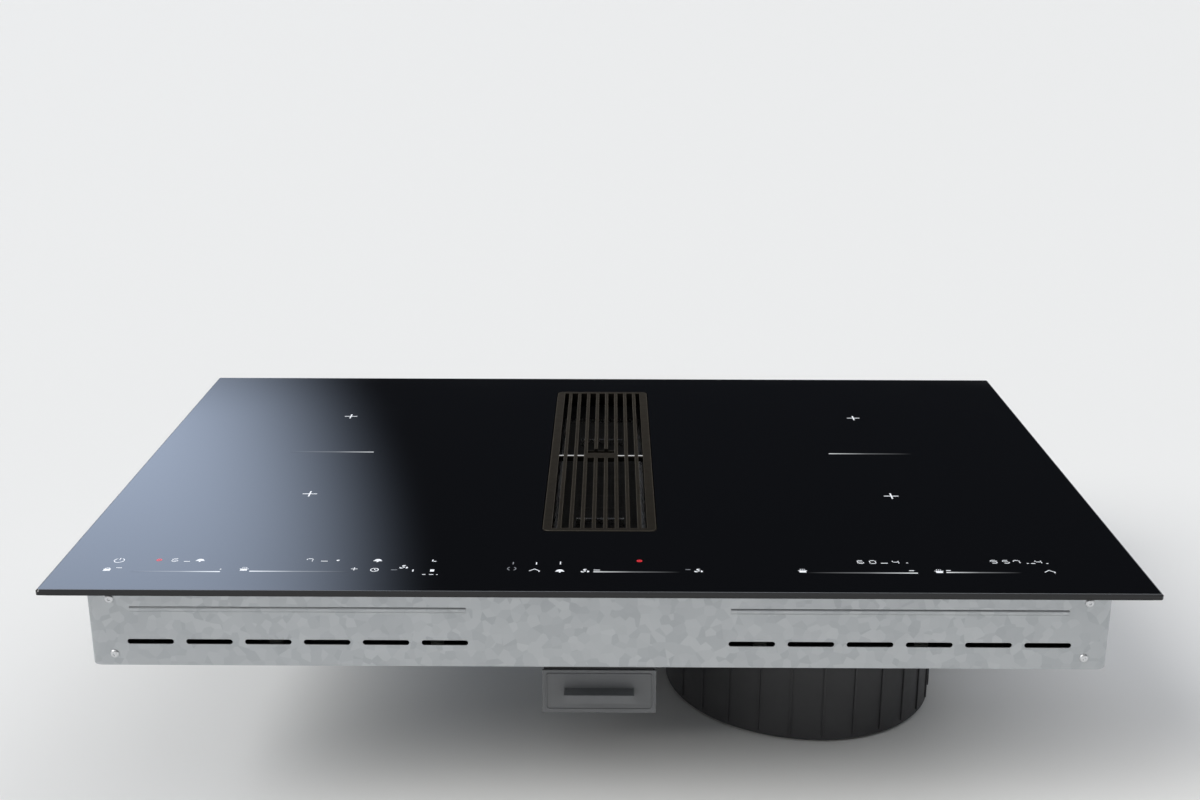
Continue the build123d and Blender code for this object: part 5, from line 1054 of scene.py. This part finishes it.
# A line drawn by emission alone: a painted glow that fades along it.
def fading_glow(name, fade):
    made = Finish(name, GLASS_COLOR, 0.05)
    along = made.part(made.node("TexCoord").outputs["Generated"], "X")
    steps = [(place, [shade * part for part in FADE_TINT]) for place, shade in fade]
    made.link(made.shaded(along, steps), made.shader.inputs["Emission Color"])
    made.shader.inputs["Emission Strength"].default_value = 1.0
    return made


white_mark = glowing_enamel("white_enamel_glow", (0.66, 0.68, 0.71), 0.45).material
faint_mark = glowing_enamel("grey_enamel_glow", (0.22, 0.23, 0.25), 0.10).material
red_mark = glowing_enamel("red_light", (0.60, 0.012, 0.02), 0.45).material
fade_to_right = fading_glow("fade_to_right", FADE).material
fade_to_left = fading_glow("fade_to_left", [(1 - place, shade) for place, shade in FADE[::-1]]).material
print("fade:", FADE)

# %% [markdown]
# ### Zones
# Each coil's middle has a fine cross, and between the back and the front coil lies a line that fades away
# towards the outside. Sizes come from the photograph, measured on the plane of the glass.

# %% Crosses and zone lines
ZONE_X = 240.8
ZONE_YS = (133.0, -71.0)
ZONE_LINE_Y = 32.0
CROSS_SIZE = 12.0
CROSS_STROKE = 1.25
ZONE_LINE_LONG = 74.6
ZONE_LINE_WIDE = 1.6
crosses = Enamel()
for side in (-1, 1):
    for y in ZONE_YS:
        crosses.bar(side * ZONE_X, y, CROSS_SIZE, CROSS_STROKE)
        arm = (CROSS_SIZE - CROSS_STROKE) / 4
        for way in (-1, 1):
            crosses.bar(side * ZONE_X, y + way * (arm + CROSS_STROKE / 2), CROSS_STROKE, 2 * arm)
crosses.fire("zone_crosses", white_mark)
for side, name, material in ((1, "right", fade_to_right), (-1, "left", fade_to_left)):
    line = Enamel()
    line.bar(side * ZONE_X, ZONE_LINE_Y, ZONE_LINE_LONG, ZONE_LINE_WIDE)
    line.fire("zone_line_" + name, material)
print("zones marked:", 2 * len(ZONE_YS))

# %% [markdown]
# ### Sliders
# A finger slides along these lines to set a zone or the fan. Each is bright at one end and fades into the
# glass at the other.

# %% Sliders
SLIDER_WIDE = 1.5
SLIDERS = (
    # name, left end, right end, depth, finish
    ("one", -340.7, -276.2, -227.0, fade_to_left),
    ("two", -255.0, -182.6, -226.0, fade_to_right),
    ("fan", -3.7, 59.5, -224.5, fade_to_right),
    ("three", 152.0, 232.8, -224.4, fade_to_left),
    ("four", 253.8, 308.9, -223.0, fade_to_right),
)
for name, left, right, y, material in SLIDERS:
    line = Enamel()
    line.bar((left + right) / 2, y, right - left, SLIDER_WIDE)
    line.fire("slider_" + name, material)
print("sliders:", len(SLIDERS))

# %% [markdown]
# ### Numbers
# The displays show their values in seven-segment numbers. A font would give whole shapes, where a display
# lights bars. The segments have the usual letters, from a at the top clockwise to f, with g in the middle,
# and a small table says which of them each number lights.

# %% Seven-segment numbers
DIGIT_WIDE = 4.2
DIGIT_HIGH = 5.2
DIGIT_STROKE = 0.75
DIGIT_GAPS = 1.4 * DIGIT_STROKE
SEGMENTS = {
    "a": (0, 1, "across"), "g": (0, 0, "across"), "d": (0, -1, "across"),
    "f": (-1, 0.5, "up"), "b": (1, 0.5, "up"), "e": (-1, -0.5, "up"), "c": (1, -0.5, "up"),
}
LIT = {0: "abcdef", 4: "bcfg", 5: "acdfg", 6: "acdefg", 7: "abcf", 9: "abcdfg"}
NUMBERS = (
    # number, x, y
    (6, -314.5, -206.7), (7, -214.6, -205.8),
    (6, 194.0, -205.0), (0, 203.0, -205.0), (4, 220.0, -205.0),
    (9, 293.0, -203.5), (5, 302.0, -203.5), (7, 310.0, -203.5), (4, 326.0, -203.5),
)
DOT = (-193.6, -206.0, 1.1)
DASH_HIGH = 0.9
DASHES = (
    # x, y, width
    (-305.2, -209.0, 4.5), (-203.5, -207.5, 5.0), (211.3, -207.0, 5.0), (228.3, -206.3, 1.4),
    (317.5, -206.3, 1.4), (321.5, -206.3, 3.0), (332.0, -206.3, 1.4),
)


def draw_number(enamel, number, x, y):
    for letter in LIT[number]:
        across, up, way = SEGMENTS[letter]
        place = (x + across * DIGIT_WIDE / 2, y + up * DIGIT_HIGH / 2)
        if way == "across":
            enamel.bar(*place, DIGIT_WIDE - DIGIT_GAPS, DIGIT_STROKE)
        else:
            enamel.bar(*place, DIGIT_STROKE, DIGIT_HIGH / 2 - DIGIT_GAPS)


numbers = Enamel()
for number, x, y in NUMBERS:
    draw_number(numbers, number, x, y)
for x, y, width in DASHES:
    numbers.bar(x, y, width, DASH_HIGH)
numbers.disc(*DOT)
numbers.fire("number_displays", white_mark)
print("numbers:", len(NUMBERS))

# %% [markdown]
# ### Pictograms
# The touch areas have small pictograms. Their drawings here are plain ones that any cooktop may have: a
# switch, a padlock, a pan, a bell, a clock, a fan, a hood and a plus. A symbol font would hide how they
# are drawn, so each is a few bars, lines and arcs round its own middle.

# %% Pictograms
STROKE = 0.7


def draw_switch(enamel, x, y):
    enamel.arc(x, y, 3.6, STROKE, 120, 300)
    enamel.bar(x, y + 2.6, STROKE, 3.6)


def draw_padlock(enamel, x, y):
    enamel.bar(x, y - 1.2, 5.2, 3.4)
    enamel.arc(x, y + 0.5, 1.7, STROKE, 0, 180)


def draw_pan(enamel, x, y):
    enamel.bar(x, y - 1.4, 5.0, 2.6)
    enamel.bar(x, y + 0.5, 6.6, STROKE)
    for steam in (-1.4, 0.0, 1.4):
        enamel.bar(x + steam, y + 2.6, STROKE * 0.7, 1.8)


def draw_bell(enamel, x, y):
    enamel.disc(x, y, 2.7, 0, 180)
    enamel.bar(x, y - 0.6, 6.6, 0.9)
    enamel.disc(x, y - 1.9, 0.8)


def draw_clock(enamel, x, y):
    enamel.arc(x, y, 2.8, STROKE)
    enamel.line(x, y, x, y + 1.8, STROKE * 0.8)
    enamel.line(x, y, x + 1.3, y - 0.7, STROKE * 0.8)


def draw_fan(enamel, x, y):
    enamel.disc(x, y, 0.9)
    for turn in (90, 210, 330):
        angle = math.radians(turn)
        enamel.disc(x + 1.9 * math.cos(angle), y + 1.9 * math.sin(angle), 1.5, turn - 60, 180)


def draw_hood(enamel, x, y):
    enamel.line(x - 3.6, y - 1.4, x, y + 1.8, STROKE)
    enamel.line(x, y + 1.8, x + 3.6, y - 1.4, STROKE)
    enamel.bar(x + 3.4, y - 2.2, STROKE, 1.8)


def draw_plus(enamel, x, y):
    enamel.bar(x, y, 4.8, STROKE)
    for way in (-1, 1):
        enamel.bar(x, y + way * 1.5, STROKE, 2.0)


# %% Place the pictograms
PICTOGRAMS = (
    # drawing, x, y
    (draw_switch, -355.8, -207.8), (draw_padlock, -359.7, -223.4), (draw_bell, -295.8, -207.0),
    (draw_pan, -259.7, -222.4), (draw_plus, -179.1, -221.2), (draw_bell, -164.0, -206.0),
    (draw_clock, -164.0, -222.7), (draw_fan, -143.1, -217.6), (draw_hood, -46.9, -221.8),
    (draw_bell, -28.3, -223.3), (draw_fan, -9.9, -223.1), (draw_fan, 73.1, -222.0),
    (draw_pan, 149.2, -221.4), (draw_pan, 248.9, -221.2), (draw_hood, 329.6, -220.4),
)
STROKES = (
    # x, y, width, height
    (-351.9, -220.9, 4.2, 0.9), (-135.7, -223.6, 0.9, 3.6), (-121.7, -223.4, 3.0, 3.6),
    (-46.0, -210.0, 0.8, 4.2), (-28.3, -209.0, 0.8, 4.8), (-1.3, -221.4, 4.6, 0.9),
    (-127.0, -230.4, 2.4, 0.9), (-121.6, -230.4, 3.2, 0.9), (-117.4, -230.4, 1.0, 0.9),
    (229.0, -220.2, 3.6, 1.0), (256.0, -219.6, 3.4, 1.0), (-276.8, -222.6, 1.0, 1.4),
    (-123.2, -205.6, 0.9, 3.2), (-121.4, -207.0, 2.0, 0.9),
)
FAINT_STROKES = ((-63.2, -209.8, 0.8, 4.0), (-149.7, -222.5, 4.4, 0.9), (65.5, -219.9, 3.6, 0.9))
FAINT_RING = (-63.7, -219.5, 3.0)
pictograms = Enamel()
for draw, x, y in PICTOGRAMS:
    draw(pictograms, x, y)
for stroke in STROKES:
    pictograms.bar(*stroke)
pictograms.fire("pictograms", white_mark)

faint = Enamel()
for start in (120, -60):
    faint.arc(*FAINT_RING, STROKE, start, 120)
for stroke in FAINT_STROKES:
    faint.bar(*stroke)
faint.fire("faint_marks", faint_mark)
print("pictograms:", len(PICTOGRAMS))

# %% [markdown]
# ### Status lights
# A small red light glows near the left end of the row and another over the fan's slider. Each could be a
# lamp behind clear glass, but at this size a dot and a ring of glowing enamel look the same.

# %% Status lights
LIGHT_PLACES = ((-326.4, -206.6), (30.2, -204.7))
LIGHT_DOT = 0.8
LIGHT_RING = 1.7
LIGHT_STROKE = 0.8
lights = Enamel()
for x, y in LIGHT_PLACES:
    lights.arc(x, y, LIGHT_RING, LIGHT_STROKE)
    lights.disc(x, y, LIGHT_DOT)
lights.fire("status_lights", red_mark)
print("status lights:", len(LIGHT_PLACES))

# %% [markdown]
# ## Last look
# The finished model must be exactly as large as the solids say, so both boxes are measured and the
# largest change between them is printed.

# %% Compare sizes and finish
finished_box = [list(corner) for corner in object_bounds()]
changes = [abs(a - b) for before, after in zip(cad_box, finished_box) for a, b in zip(before, after)]
print("largest change of the box:", max(changes))
